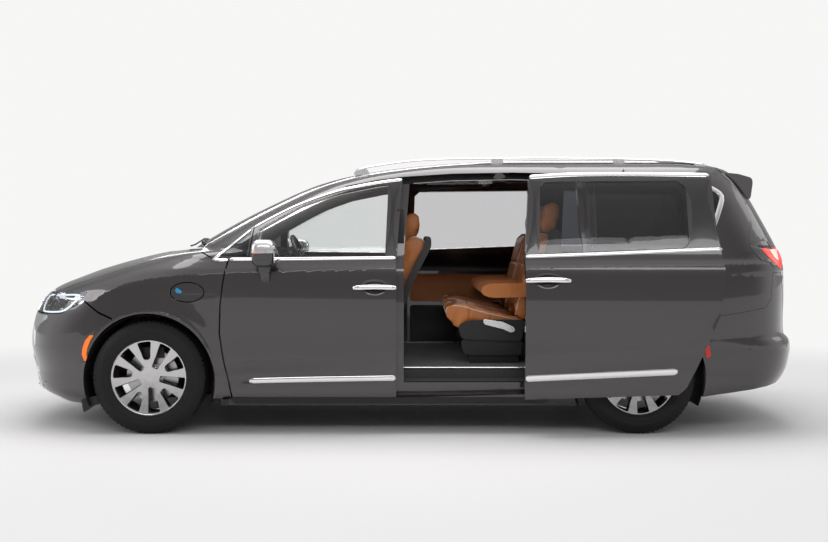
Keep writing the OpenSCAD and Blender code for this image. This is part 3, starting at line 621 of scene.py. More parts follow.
class MinivanFinish(bpy.types.PropertyGroup):
    """Colours of the minivan."""
    paint: colour("Paint", "Metallic body paint", (0.047, 0.041, 0.043))
    leather: colour("Leather", "Seat and armrest leather", (0.52, 0.165, 0.032))
    piping: colour("Piping", "Cord sewn along the seat edges", (0.62, 0.58, 0.52))
    trim: colour("Cabin trim", "Moulded cabin plastic", (0.009, 0.009, 0.009))
    carpet: colour("Carpet", "Floor carpet", (0.006, 0.006, 0.006))
    lining: colour("Headlining", "Cloth under the roof", (0.34, 0.325, 0.305))
    # This colour also glows on the charge mark, as painted light.
    port_mark_painted_glow: colour("Charge ring", "Ring round the charging lid", (0.02, 0.22, 0.42))


class MinivanSizes(bpy.types.PropertyGroup):
    """Sizes of the fitted pieces."""
    strip: size("Bright strip", "Width of the bright window strip", 0.020, 0.008, 0.04)
    tread: size("Tread depth", "Depth of the tyre grooves", 0.008, 0.004, 0.012)
    puff: size("Cushion puff", "Most that a cushion's cover may swell", 0.022, 0.005, 0.03)


class MinivanStage(bpy.types.PropertyGroup):
    """Studio round the minivan."""
    floor: colour("Floor", "Pale studio floor", (0.83, 0.815, 0.81))
    wall: colour("Backdrop", "Pale backdrop", (0.93, 0.925, 0.92))
    distance: size("Camera distance", "Camera's distance from the middle of the vehicle", 7.96, 2, 30)
    height: size("Camera height", "Camera's height above the floor", 1.25, 0.2, 5)


# ---- Finishes ----
FINISHES = {}


def flaked(name, base, metallic=0.85, rough=0.32):
    """Metallic paint with fine flake under a clear coat."""
    s = Shader(name)
    flake = s.node("TexVoronoi", {"feature": "F1"}, {"Vector": s.place(), "Scale": 900.0}, 1)
    grey = s.node("SeparateColor", None, {0: flake})
    mottle = s.noise(3.0)
    tone = s.between(grey * 0.35 + mottle * 0.12, lit(base, 0.82), lit(base, 1.45))
    return s.surface(Base_Color=tone, Metallic=metallic, Roughness=grey * 0.07 + (rough - 0.03),
                     Coat_Weight=1.0, Coat_Roughness=0.035, Coat_IOR=1.6)


def polished(name, base, rough, metallic=1.0, grain=0.0):
    """Bright metal with faint drawn marks."""
    s = Shader(name)
    marks = s.noise(70.0)
    return s.surface(Base_Color=s.between(marks, lit(base, 0.9), base), Metallic=metallic,
                     Roughness=marks * (0.5 * rough) + rough * 0.75,
                     Normal=s.bump(s.noise(300.0), grain))


def moulded(name, base, rough=0.5, grain=0.00012, scale=900.0, coat=0.0):
    """Moulded plastic with a fine pebbled grain."""
    s = Shader(name)
    pebble = s.cells(scale)
    wear = s.noise(6.0)
    return s.surface(Base_Color=s.between(wear, lit(base, 0.8), lit(base, 1.3)),
                     Roughness=wear * 0.12 + (rough - 0.06), Coat_Weight=coat, Coat_Roughness=0.03,
                     Normal=s.bump(pebble, grain))


def hide(name, base):
    """Dyed leather with creases, pores and a slight sheen of wear."""
    s = Shader(name)
    pores = s.cells(520.0)
    creases = s.cells(150.0, "DISTANCE_TO_EDGE")
    tone = s.noise(9.0)
    height = pores * 0.4 + creases * 0.8 + s.noise(30.0) * 0.8
    return s.surface(Base_Color=s.between(tone * 0.7 + s.noise(160.0) * 0.3, lit(base, 0.72), lit(base, 1.22)),
                     Roughness=tone * 0.16 + 0.36, Coat_Weight=0.15, Coat_Roughness=0.4,
                     Normal=s.bump(height, 0.0008, 0.7))


def pricked(name, base):
    """Leather with rows of small holes, painted near black as the shade inside them."""
    s = Shader(name)
    rows = s.place((1, 1, 0.001))
    hole = s.node("TexVoronoi", {"feature": "F1"}, {"Vector": rows, "Scale": 135.0, "Randomness": 0.0})
    # The holes are painted near black: painted shade inside each hole.
    dark = hole < 0.26
    tone = s.noise(9.0)
    return s.surface(Base_Color=s.between(dark, s.between(tone, lit(base, 0.75), lit(base, 1.2)),
                                          lit(base, 0.08)),
                     Roughness=tone * 0.15 + 0.4,
                     Normal=s.bump(s.cells(520.0) * 0.3 - dark * 1.0, 0.0008, 0.8))


def woven(name, base, scale=500.0, depth=0.0006):
    """Cloth or carpet with short fibres."""
    s = Shader(name)
    fibre = s.noise(scale, 4.0, 0.7)
    tuft = s.cells(scale * 0.5)
    return s.surface(Base_Color=s.between(fibre * 0.6 + tuft * 0.4, lit(base, 0.5), lit(base, 1.6)),
                     Roughness=0.95, Sheen_Weight=0.3, Sheen_Roughness=0.5,
                     Normal=s.bump(fibre + tuft * 0.6, depth))


def pane(name, tint, rough=0.0):
    """Thin glass that tints what is behind it."""
    s = Shader(name)
    clear = s.node("BsdfTransparent", None, {0: tint})
    gloss = s.node("BsdfGlossy", None, {"Color": (1.0, 1.0, 1.0), "Roughness": 0.012 + rough})
    film = s.noise(2.0)
    edge = s.node("Fresnel", None, {"IOR": 1.5})
    return s.finish(s.node("MixShader", None, {0: edge * (film * 0.1 + 0.95), 1: clear, 2: gloss}))


def lens(name, tint, ridges=0.0):
    """A moulded lamp lens."""
    s = Shader(name)
    clear = s.node("BsdfTransparent", None, {0: tint})
    rib = s.node("TexWave", {"wave_type": "BANDS", "bands_direction": "Z"},
                 {"Vector": s.place(), "Scale": 60.0})
    gloss = s.node("BsdfGlossy", None, {"Color": (1.0, 1.0, 1.0), "Roughness": 0.03,
                                       "Normal": s.bump(rib, ridges)})
    edge = s.node("Fresnel", None, {"IOR": 1.5})
    return s.finish(s.node("MixShader", None, {0: edge * (rib * 0.05 + 0.97), 1: clear, 2: gloss}))


def glowing(name, base, strength):
    """A lamp's light guide. On the rear reflectors and the charge mark, which are no lamps, the glow is painted
    light.
    """
    s = Shader(name)
    cell = s.noise(40.0)
    return s.surface(Base_Color=base, Roughness=0.2, Emission_Strength=strength,
                     Emission_Color=s.between(cell, lit(base, 0.85), base))


def rubber(name):
    """Tyre rubber with faint mould rings and dust."""
    s = Shader(name)
    dust = s.noise(14.0, 5.0)
    return s.surface(Base_Color=s.between(dust, (0.004, 0.004, 0.004), (0.010, 0.010, 0.010)),
                     Roughness=dust * 0.15 + 0.55, Specular_IOR_Level=0.3,
                     Normal=s.bump(s.noise(700.0), 0.0002))


def cast(name, base, rough=0.5, metallic=0.9, grime=0.5):
    """Cast or pressed metal under road film."""
    s = Shader(name)
    film = s.noise(5.0, 6.0, 0.6)
    pit = s.noise(240.0)
    return s.surface(Base_Color=s.between(film * grime, base, lit(base, 0.35)), Metallic=metallic,
                     Roughness=film * 0.25 + (rough - 0.1), Normal=s.bump(pit, 0.0005))


def mix_finishes(look):
    """Makes every finish once."""
    FINISHES.update({
        "body_paint": flaked("body_paint", tuple(look.paint)),
        "chrome_trim": polished("chrome_trim", (0.86, 0.86, 0.87), 0.08),
        "satin_rail": polished("satin_rail", (0.72, 0.72, 0.73), 0.28, grain=0.00005),
        "alloy": polished("alloy", (0.60, 0.59, 0.59), 0.24, grain=0.00003),
        "alloy_dark": flaked("alloy_dark", (0.05, 0.05, 0.052), 0.7, 0.4),
        "gloss_black": moulded("gloss_black", (0.012, 0.012, 0.013), 0.16, 0.0, coat=1.0),
        "cabin_plastic": moulded("cabin_plastic", tuple(look.trim), 0.55, 0.0002, 700.0),
        "trim_black": moulded("trim_black", (0.007, 0.007, 0.007), 0.5, 0.0002, 900.0),
        "tan_leather": hide("tan_leather", tuple(look.leather)),
        "tan_pricked": pricked("tan_pricked", tuple(look.leather)),
        "dark_leather": hide("dark_leather", (0.012, 0.011, 0.011)),
        "piping": moulded("piping", tuple(look.piping), 0.5, 0.0001, 1200.0),
        "carpet": woven("carpet", tuple(look.carpet), 420.0, 0.0015),
        "lining": woven("lining", tuple(look.lining), 700.0, 0.0003),
        "belt": woven("belt", (0.02, 0.02, 0.02), 900.0, 0.0003),
        "clear_glass": pane("clear_glass", (0.93, 0.94, 0.94)),
        "door_glass": pane("door_glass", (0.80, 0.80, 0.81)),
        "tinted_glass": pane("tinted_glass", (0.26, 0.27, 0.29)),
        "lamp_clear": lens("lamp_clear", (0.93, 0.95, 0.97)),
        "lamp_red": lens("lamp_red", (0.95, 0.22, 0.20), 0.001),
        "lamp_amber": glowing("lamp_amber", (0.95, 0.19, 0.015), 0.3),
        # The rear reflectors are no lamps: their glow is painted light.
        "reflector_red": glowing("reflector_red", (0.6, 0.02, 0.015), 0.12),
        "lamp_glow": glowing("lamp_glow", (0.86, 0.92, 1.0), 0.75),
        "lamp_red_core": glowing("lamp_red_core", (1.0, 0.42, 0.36), 1.1),
        "lamp_red_glow": glowing("lamp_red_glow", (0.95, 0.05, 0.04), 1.0),
        # The charge mark is no lamp: its blue is its print and its glow is painted light.
        "port_mark_painted_glow": glowing("port_mark_painted_glow", tuple(look.port_mark_painted_glow), 0.25),
        "screen": moulded("screen", (0.006, 0.007, 0.009), 0.1, 0.0, coat=1.0),
        "mirror_face": polished("mirror_face", (0.9, 0.91, 0.92), 0.015),
        "tyre": rubber("tyre"),
        "underbody": cast("underbody", (0.02, 0.02, 0.021), 0.7, 0.1, 0.8),
        "engine_alloy": cast("engine_alloy", (0.42, 0.42, 0.43), 0.42, 0.9, 0.4),
        "chassis_iron": cast("chassis_iron", (0.06, 0.06, 0.062), 0.55, 0.6, 0.7),
        "exhaust_steel": cast("exhaust_steel", (0.42, 0.39, 0.36), 0.38, 1.0, 0.6),
        "brake_disc": polished("brake_disc", (0.5, 0.5, 0.51), 0.3, grain=0.0001),
    })


# ---- Operators ----
class Make(bpy.types.Operator):
    """Shared settings of the operators"""
    bl_idname = "minivan.make"
    bl_label = "Make"
    bl_options = {"REGISTER"}

    @property
    def look(self):
        return bpy.context.scene.minivan_finish

    @property
    def sizes(self):
        return bpy.context.scene.minivan_sizes


PAINTED = {
    "body_side_left": "root", "body_side_right": "root", "roof_panel": "root", "front_fenders": "root",
    "front_bumper": "root", "rear_bumper": "root", "hood": "hood", "tailgate": "tailgate",
    "front_door_left": "front_door_left", "front_door_right": "front_door_right",
    "sliding_door_left": "root", "sliding_door_right": "root", "charge_port_door": "charge_port_door",
}
OPEN_DOOR = (-787.0, 122.0, 0.0)


def door_shift(v):
    """How far the open sliding door's points stand from their place when it is shut."""
    return np.where((v[:, 1] > 0)[:, None] & (v[:, 0] < -40)[:, None], OPEN_DOOR, (0.0, 0.0, 0.0))


class MakePanels(Make):
    """Lays the painted panels on the body's smooth surface"""
    bl_idname = "minivan.make_panels"
    bl_label = "Painted panels"

    def execute(self, context):
        for node, body in PAINTED.items():
            shift = door_shift if node == "sliding_door_left" else None
            reach = GATE_REACH if node == "tailgate" else PANEL_REACH
            inner = "lining" if node == "roof_panel" else "cabin_plastic"
            new_piece(node + "_panel", laid_shell(node, reach=reach, shift=shift), body, "body_paint",
                      "body_paint", inner, stands_for=[node])
        return {"FINISHED"}


GLAZED = {
    "windscreen": ("root", "clear_glass"), "tailgate_glass": ("tailgate", "tinted_glass"),
    "front_door_glass_left": ("front_door_left", "clear_glass"),
    "front_door_glass_right": ("front_door_right", "clear_glass"),
    "fixed_side_glass": ("root", "tinted_glass"), "sliding_door_glass": ("root", "door_glass"),
}


PANE_STEP, LENS_STEP = 60.0, 40.0


def even(step):
    """The same longest edge everywhere."""
    return lambda p: np.full(len(p), step)


class MakeGlass(Make):
    """Lays the window glass on the body's smooth surface"""
    bl_idname = "minivan.make_glass"
    bl_label = "Window glass"

    def execute(self, context):
        for node, (body, finish) in GLAZED.items():
            shift = door_shift if node == "sliding_door_glass" else None
            mesh = laid_shell(node, even(PANE_STEP), False, shift=shift)
            slot = "tinted_glass" if finish == "door_glass" else finish
            new_piece(node + "_pane", mesh, body, slot, finish, finish, stands_for=[node])
        return {"FINISHED"}


HUB_Z, TRACK_HALF = 358.0, 0.8675
CORNERS = {"front_left": (FRONT_AXLE, 1), "front_right": (FRONT_AXLE, -1),
           "rear_left": (REAR_AXLE, 1), "rear_right": (REAR_AXLE, -1)}
RIM_R, TYRE_R, FACE_R = 238.0, 358.0, 234
SPOKES, SPOKE_TURN = 5, 26
POCKET_DEPTH, TREAD_BLOCKS, DISC_VANES = 42, 72, 36


def tree_for(name, *inputs):
    """A Geometry Nodes tree with named inputs, its group input and its nodes' maker."""
    tree = bpy.data.node_groups.new(name, "GeometryNodeTree")
    tree.interface.new_socket("Geometry", in_out="INPUT", socket_type="NodeSocketGeometry")
    ids = {}
    for label, kind in inputs:
        ids[label] = tree.interface.new_socket(label, in_out="INPUT",
                                               socket_type="NodeSocket" + kind).identifier
    tree.interface.new_socket("Geometry", in_out="OUTPUT", socket_type="NodeSocketGeometry")
    source = tree.nodes.new("NodeGroupInput")

    def add(kind, settings=None, inputs=None):
        node = tree.nodes.new(kind)
        for key, value in (settings or {}).items():
            setattr(node, key, value)
        for key, value in (inputs or {}).items():
            if isinstance(value, bpy.types.NodeSocket):
                tree.links.new(value, node.inputs[key])
            else:
                node.inputs[key].default_value = value
        return node

    return tree, source, ids, add


def grown(name, mesh, tree, ids, values):
    """The plain mesh that a tree makes from a mesh."""
    host = bpy.data.objects.new(name, mesh)
    bpy.context.scene.collection.objects.link(host)
    modifier = host.modifiers.new(name, "NODES")
    modifier.node_group = tree
    for label, value in values.items():
        modifier[ids[label]] = value
    result = bpy.data.meshes.new_from_object(host.evaluated_get(bpy.context.evaluated_depsgraph_get()))
    host.modifiers.remove(modifier)
    bpy.data.objects.remove(host)
    return result


def ring_tree(name, finish):
    """A tree that repeats its mesh in a ring about the upright axis."""
    tree, source, ids, add = tree_for(name, ("Count", "Int"))
    line = add("GeometryNodeMeshLine", {"mode": "OFFSET"},
               {"Count": source.outputs["Count"], "Start Location": (0, 0, 0), "Offset": (0, 0, 0)})
    place = add("GeometryNodeInputIndex")
    share = add("ShaderNodeMath", {"operation": "DIVIDE"}, {0: place.outputs[0], 1: source.outputs["Count"]})
    angle = add("ShaderNodeMath", {"operation": "MULTIPLY"}, {0: share.outputs[0], 1: 2 * math.pi})
    turn = add("ShaderNodeCombineXYZ", None, {2: angle.outputs[0]})
    spread = add("GeometryNodeInstanceOnPoints", None, {"Points": line.outputs[0], "Rotation": turn.outputs[0],
                                                        "Instance": source.outputs["Geometry"]})
    real = add("GeometryNodeRealizeInstances", None, {0: spread.outputs[0]})
    paint = add("GeometryNodeSetMaterial", None, {"Geometry": real.outputs[0], "Material": FINISHES[finish]})
    tree.links.new(paint.outputs[0], tree.nodes.new("NodeGroupOutput").inputs[0])
    return tree, ids


def ring_of(name, part, count, finish, angle=40):
    """A part repeated in a ring about the upright axis, as a mesh in metres."""
    tree, ids = ring_tree(name, finish)
    return grown(name, part_mesh(name, part, angle), tree, ids, {"Count": count})


def set_at_hub(mesh, corner):
    """Moves a mesh modelled with its axis upright onto a hub."""
    x, side = CORNERS[corner]
    m = Matrix(((1, 0, 0, x * MM), (0, 0, side, side * TRACK_HALF), (0, -side, 0, HUB_Z * MM), (0, 0, 0, 1)))
    mesh = mesh.copy()
    mesh.transform(m)
    return mesh


class MakeTyres(Make):
    """Turns the tyres and cuts their tread"""
    bl_idname = "minivan.make_tyres"
    bl_label = "Tyres"

    def carcass(self):
        """The tyre with its sidewall rings and tread grooves."""
        d = self.sizes.tread / MM
        side = [(RIM_R + 1, 96), (RIM_R - 1, 108), (RIM_R + 8, 114), (RIM_R + 16, 112), (RIM_R + 22, 115.5),
                (RIM_R + 36, 117), (RIM_R + 38, 115.8), (RIM_R + 52, 117), (RIM_R + 62, 117.2),
                (RIM_R + 64, 116), (RIM_R + 80, 112.5), (RIM_R + 82, 110.6), (RIM_R + 96, 105),
                (TYRE_R - 14, 99), (TYRE_R - 8, 94), (TYRE_R - 3, 84)]
        tread = [(TYRE_R - 1, 74)]
        for at in (52, 18, -18, -52):
            r = TYRE_R - 0.3
            tread += [(r, at + 6), (r - d, at + 4), (r - d, at - 4), (r, at - 6)]
        tread += [(TYRE_R - 1, -74)]
        return turned(side + tread + [(r, -h) for r, h in reversed(side)] + [(RIM_R + 1, 0)], 144)

    def block(self):
        """A shoulder block with a groove on each side of it."""
        r0, r1, w = TYRE_R - 20, TYRE_R - 3.4, 6.2
        corners = [(r0, -w, 103), (r0, w, 103), (r1 + 1, w, 92), (r1 + 1, -w, 92), (r0, -w, 86), (r0, w, 86),
                   (r1 + 3.2, w, 76), (r1 + 3.2, -w, 76)]
        faces = [(0, 1, 2, 3), (4, 7, 6, 5), (0, 4, 5, 1), (1, 5, 6, 2), (2, 6, 7, 3), (3, 7, 4, 0)]
        lower = [(x, y, -z) for x, y, z in corners]
        return joined((corners, faces), (lower, [f[::-1] for f in faces]))

    def execute(self, context):
        body = part_mesh("tyre_carcass", self.carcass(), 30)
        blocks = ring_of("tyre_blocks", self.block(), TREAD_BLOCKS, "tyre")
        for corner in CORNERS:
            for kind, mesh in (("tyre", body), ("tread_blocks", blocks)):
                stands = ["tyre_" + corner] if kind == "tyre" else ()
                new_piece(f"{kind}_{corner}_rubber", set_at_hub(mesh, corner), "wheel_" + corner, "tyre",
                          "tyre", stands_for=stands)
        return {"FINISHED"}


def circle(radius, count):
    """Points of a circle."""
    return [(radius * math.cos(a), radius * math.sin(a)) for a in np.arange(count) * 2 * math.pi / count]


def face_height(r):
    """How far the wheel's face stands out at a radius."""
    return np.interp(r, [0, 30, 62, 120, 180, 216, 238], [74, 74, 76, 80, 87, 93, 96])


class MakeWheels(Make):
    """Cuts the alloy wheels with their pockets, nuts and discs"""
    bl_idname = "minivan.make_wheels"
    bl_label = "Alloy wheels"

    def pocket(self, turn, points, shrink=0.0):
        """A pocket's outline of (radius, half width) corners, closed with rounded ends."""
        ring = along([(r, w) for r, w in points] + [(r, -w) for r, w in reversed(points)], 9.0, True)
        middle = np.array([(ring[:, 0].min() + ring[:, 0].max()) / 2, 0])
        ring = middle + (ring - middle) * (1 - 0.012 * shrink, 1 - 0.04 * shrink)
        c, s = math.cos(turn), math.sin(turn)
        return np.stack([ring[:, 0] * c - ring[:, 1] * s, ring[:, 0] * s + ring[:, 1] * c], 1)

    def pockets(self, shrink=0.0):
        long = [(64, 14), (76, 21), (140, 28), (206, 36), (225, 32)]
        short = [(112, 12), (124, 23), (166, 31), (206, 40), (225, 36)]
        part = 180 / SPOKES
        return [self.pocket(math.radians(part * (2 * k + j) + SPOKE_TURN), p, shrink)
                for k in range(SPOKES) for j, p in enumerate((long, short))]

    def face(self):
        """The machined face between the pockets."""
        v, f = filled(circle(FACE_R, 120), self.pockets(), 12.0)
        top = np.column_stack([v, face_height(np.hypot(v[:, 0], v[:, 1]))])
        return top, [tuple(q) for q in f]

    def walls(self):
        """The dark walls of the pockets, drawn in towards their backs."""
        parts = []
        for front, back in zip(self.pockets(), self.pockets(5.0)):
            n = len(front)
            h = face_height(np.hypot(front[:, 0], front[:, 1]))
            rings = [np.column_stack([front, h]), np.column_stack([0.5 * (front + back), h - 9]),
                     np.column_stack([back, h - POCKET_DEPTH])]
            v = np.vstack(rings)
            parts.append((v, [(k * n + i, k * n + (i + 1) % n, (k + 1) * n + (i + 1) % n, (k + 1) * n + i)
                              for k in range(2) for i in range(n)]))
        v, f = filled(circle(FACE_R, 120), self.pockets(5.0), 24.0)
        back = np.column_stack([v, face_height(np.hypot(v[:, 0], v[:, 1])) - POCKET_DEPTH])
        parts.append((back, [tuple(q)[::-1] for q in f]))
        return joined(*parts)

    def execute(self, context):
        face = part_mesh("wheel_face", self.face(), 30)
        walls = mesh_from("wheel_pockets", self.walls()[0] * MM, self.walls()[1])
        walls.set_sharp_from_angle(angle=math.radians(40))
        lip = turned([(231, 92), (233, 94.5), (236, 97), (239, 101), (242, 102), (244, 100), (244, 96),
                      (238, 94), (235, 88), (231, 84)])
        barrel = turned([(238, 90), (238, 60), (228, 40), (226, -60), (238, -92), (243, -96), (243, -100),
                         (236, -98), (221, -64), (222, 36), (228, 46), (230, 86)])
        hub = turned([(0.5, 48), (0.5, 63), (22, 62), (27, 60), (29, 57), (31, 57), (32, 61), (36, 61),
                      (38, 55), (38, 48)], 64)
        bell_part = turned([(33, -30), (33, 30), (78, 30), (80, 26), (80, -6), (166, -6), (166, -14),
                            (92, -14), (92, -22), (166, -22), (166, -30)])
        nut = turned([(0.5, 40), (0.5, 63), (6, 63), (9, 60), (10, 56), (12, 55), (12, 40)], 6)
        nuts = ring_of("wheel_nuts", (nut[0] + (57, 0, 0), nut[1]), SPOKES, "chrome_trim")
        nuts.transform(Matrix.Rotation(math.radians(SPOKE_TURN), 4, "Z"))
        vane = (np.array([(96, -2, -14), (162, -2, -14), (162, 2, -14), (96, 2, -14),
                          (96, -2, -22), (162, -2, -22), (162, 2, -22), (96, 2, -22)], float),
                [(0, 1, 2, 3), (7, 6, 5, 4), (0, 4, 5, 1), (1, 5, 6, 2), (2, 6, 7, 3), (3, 7, 4, 0)])
        vanes = ring_of("disc_vanes", vane, DISC_VANES, "brake_disc")
        pieces = {"face": (face, "alloy"), "pockets": (walls, "alloy_dark"),
                  "lip": (part_mesh("lip", lip), "alloy"),
                  "barrel": (part_mesh("barrel", barrel), "alloy_dark"),
                  "cap": (part_mesh("cap", hub), "alloy"),
                  "disc": (part_mesh("disc", bell_part), "brake_disc"), "nuts": (nuts, "chrome_trim"),
                  "vanes": (vanes, "brake_disc")}
        for corner in CORNERS:
            for kind, (mesh, finish) in pieces.items():
                stands = ["rim_" + corner] if kind == "barrel" else ()
                new_piece(f"wheel_{kind}_{corner}", set_at_hub(mesh, corner), "wheel_" + corner, "alloy",
                          finish, stands_for=stands)
        return {"FINISHED"}


def both_sides(name, make, bodies, slot, *finish):
    """One piece on each side of the vehicle."""
    for (_, view), body in zip(SIDES, bodies):
        fit(f"{name}_{view}", make(view), body, slot, *finish)


def door_place(view, moved=True):
    """How far the left sliding door's trims stand from their place when it is shut."""
    return OPEN_DOOR if moved and view == "left" else (0, 0, 0)


class MakeTrims(Make):
    """Lays the bright strips and black pillar covers along the sides"""
    bl_idname = "minivan.make_trims"
    bl_label = "Side trims"

    def strip(self, line, view, width, height=4.5, shift=(0, 0, 0)):
        """A bright strip along a line of the side view, narrower at its ends."""
        p, n = laid(along(line, 26.0), view, 0.5, shift)
        taper = np.ones(len(p))
        taper[0] = taper[-1] = 0.55
        return swept(p, n, moulding(width, height), False, taper)

    def execute(self, context):
        w = self.sizes.strip / MM
        root, doors = ("root", "root"), ("front_door_left", "front_door_right")
        door_top = [(976, 1302), (830, 1384), (674, 1458), (430, 1541), (185, 1590), (26, 1611)]
        door_belt = [(1106, 1102), (800, 1104), (400, 1108), (64, 1112)]
        corner = [(990, 1288), (1100, 1195), (1196, 1113), (1207, 1102), (1196, 1097), (1118, 1099)]
        slide_top = [(2, 1622), (-300, 1638), (-700, 1640), (-1132, 1634)]
        slide_belt = [(42, 1122), (-500, 1141), (-976, 1161), (-1176, 1168)]
        quarter = [(-1166, 1620), (-1600, 1618), (-1890, 1578), (-1976, 1552), (-2030, 1506), (-2004, 1420),
                   (-1946, 1296), (-1884, 1200), (-1820, 1162), (-1194, 1140)]
        low_front = [(985, 336), (960, 338), (600, 347), (64, 356)]
        low_slide = [(42, 368), (-400, 388), (-800, 408), (-874, 412), (-892, 414)]

        def strips(name, line, bodies, width, height=4.5, moved=False):
            both_sides(f"bright_{name}", lambda v: self.strip(line, v, width, height, door_place(v, moved)),
                       bodies, "chrome_trim")

        for name, line, bodies, wider in (("corner", corner, root, 0), ("door_top", door_top, doors, 0),
                                          ("door_belt", door_belt, doors, 0), ("quarter", quarter, root, 12)):
            strips(name, line, bodies, w + wider)
        strips("low_front", low_front, doors, 34, 9)
        strips("slide_top", slide_top, root, w + 8, moved=True)
        strips("slide_belt", slide_belt, root, w, moved=True)
        strips("low_slide", low_slide, root, 42, 9, True)

        front_pillar = [(126, 1120), (62, 1122), (28, 1598), (106, 1587), (112, 1576)]
        slide_front = [(40, 1132), (-40, 1138), (-54, 1556), (-80, 1596), (6, 1600)]
        slide_rear = [(-980, 1206), (-980, 1562), (-940, 1612), (-1130, 1608), (-1140, 1300), (-1162, 1178),
                      (-944, 1172)]
        rear_wedge = [(-2188, 1208), (-2200, 1290), (-2213, 1468), (-2400, 1204), (-2396, 1198), (-2200, 1198)]
        mid_pillar = [(-1190, 1152), (-1208, 1160), (-1208, 1604), (-1164, 1606), (-1172, 1300)]
        for name, outline, bodies, moved in (
                ("door_pillar", front_pillar, doors, False), ("slide_front", slide_front, root, True),
                ("slide_rear", slide_rear, root, True), ("rear_wedge", rear_wedge, root, False),
                ("rear_pillar", mid_pillar, root, False)):
            both_sides(name + "_cover", lambda v: slab(outline, v, 1.2, 2.4, door_place(v, moved)), bodies,
                       "gloss_black")
        marker = [(2046, 540), (2052, 500), (2034, 462), (2012, 460), (2018, 500), (2010, 545), (1990, 590),
                  (1968, 624), (1996, 622), (2026, 588)]
        reflector = [(-1878, 590), (-1903, 560), (-1916, 500), (-1896, 486), (-1886, 492), (-1872, 545)]
        # The rear reflectors' glow is painted light.
        for name, outline, finish in (("side_marker", marker, "lamp_amber"),
                                      ("rear_reflector", reflector, "reflector_red")):
            both_sides(name, lambda v: slab(outline, v, 3, 5, step=20), root, "lamp_red", finish)
        return {"FINISHED"}


def ringed(rings, closed=True, caps=True):
    """Points and faces of rings with the same count, joined one to the next."""
    k = len(rings[0])
    faces = [(i * k + j, i * k + (j + 1) % k, (i + 1) * k + (j + 1) % k, (i + 1) * k + j)
             for i in range(len(rings) - 1) for j in range(k if closed else k - 1)]
    if caps:
        faces += [tuple(range(k))[::-1], tuple((len(rings) - 1) * k + j for j in range(k))]
    return np.concatenate([np.array(r, float) for r in rings]), faces


def inset(ring, d):
    """A flat ring moved inwards."""
    q = np.array(ring, float)
    ahead, behind = np.roll(q, -1, 0) - q, q - np.roll(q, 1, 0)
    ahead /= np.maximum(np.linalg.norm(ahead, axis=1, keepdims=True), 1e-9)
    behind /= np.maximum(np.linalg.norm(behind, axis=1, keepdims=True), 1e-9)
    n = np.stack([ahead[:, 1] + behind[:, 1], -ahead[:, 0] - behind[:, 0]], 1)
    n /= np.maximum(np.linalg.norm(n, axis=1, keepdims=True), 1e-9)
    turn = np.cross(q, np.roll(q, -1, 0)).sum()
    n *= -1 if turn > 0 else 1
    lean = np.maximum((n * np.stack([ahead[:, 1], -ahead[:, 0]], 1)).sum(1) * (-1 if turn > 0 else 1), 0.5)
    return q - n * (d / lean)[:, None]


def softened(outline, radius=20.0, steps=4):
    """A ring with rounded corners."""
    q, out = np.array(outline, float), []
    for a, b, c in zip(np.roll(q, 1, 0), q, np.roll(q, -1, 0)):
        before, after = np.linalg.norm(a - b), np.linalg.norm(c - b)
        p0, p2 = b + (a - b) * min(radius / before, 0.45), b + (c - b) * min(radius / after, 0.45)
        out += [(1 - t) ** 2 * p0 + 2 * t * (1 - t) * b + t * t * p2 for t in np.arange(steps + 1) / steps]
    return np.array(out)


def moulded_block(outline, lo, hi, edge=14.0, axis=1, radius=20.0):
    """A shape in side view (x, z), in end view (y, z) or in plan (x, y), carried across with rounded edges."""
    ring = softened(outline, radius)
    rings = []
    for t in (0.0, 0.15, 0.4, 0.75, 1.0):
        rings.append((lo + edge * t, edge * (1 - math.sqrt(1 - (1 - t) ** 2))))
    rings += [(hi - (at - lo), d) for at, d in reversed(rings)]
    built = []
    for at, d in rings:
        q = inset(ring, d)
        columns = [q[:, 0], q[:, 1]]
        columns.insert(axis, np.full(len(q), at))
        built.append(np.stack(columns, 1))
    return ringed(built)


def fastened(v, f, origin, angle=0.0, about=(0, 1, 0)):
    """A part turned about an axis and moved, in mm."""
    turn = Matrix.Rotation(math.radians(angle), 3, Vector(about))
    return np.array(v) @ np.array(turn).T + np.array(origin, float), f


def facing_out(v, f, p, n):
    """An upright part set on the body, facing out of it."""
    turn = Vector((0, 0, 1)).rotation_difference(Vector(n[0])).to_matrix()
    return v @ np.array(turn).T + p[0], f


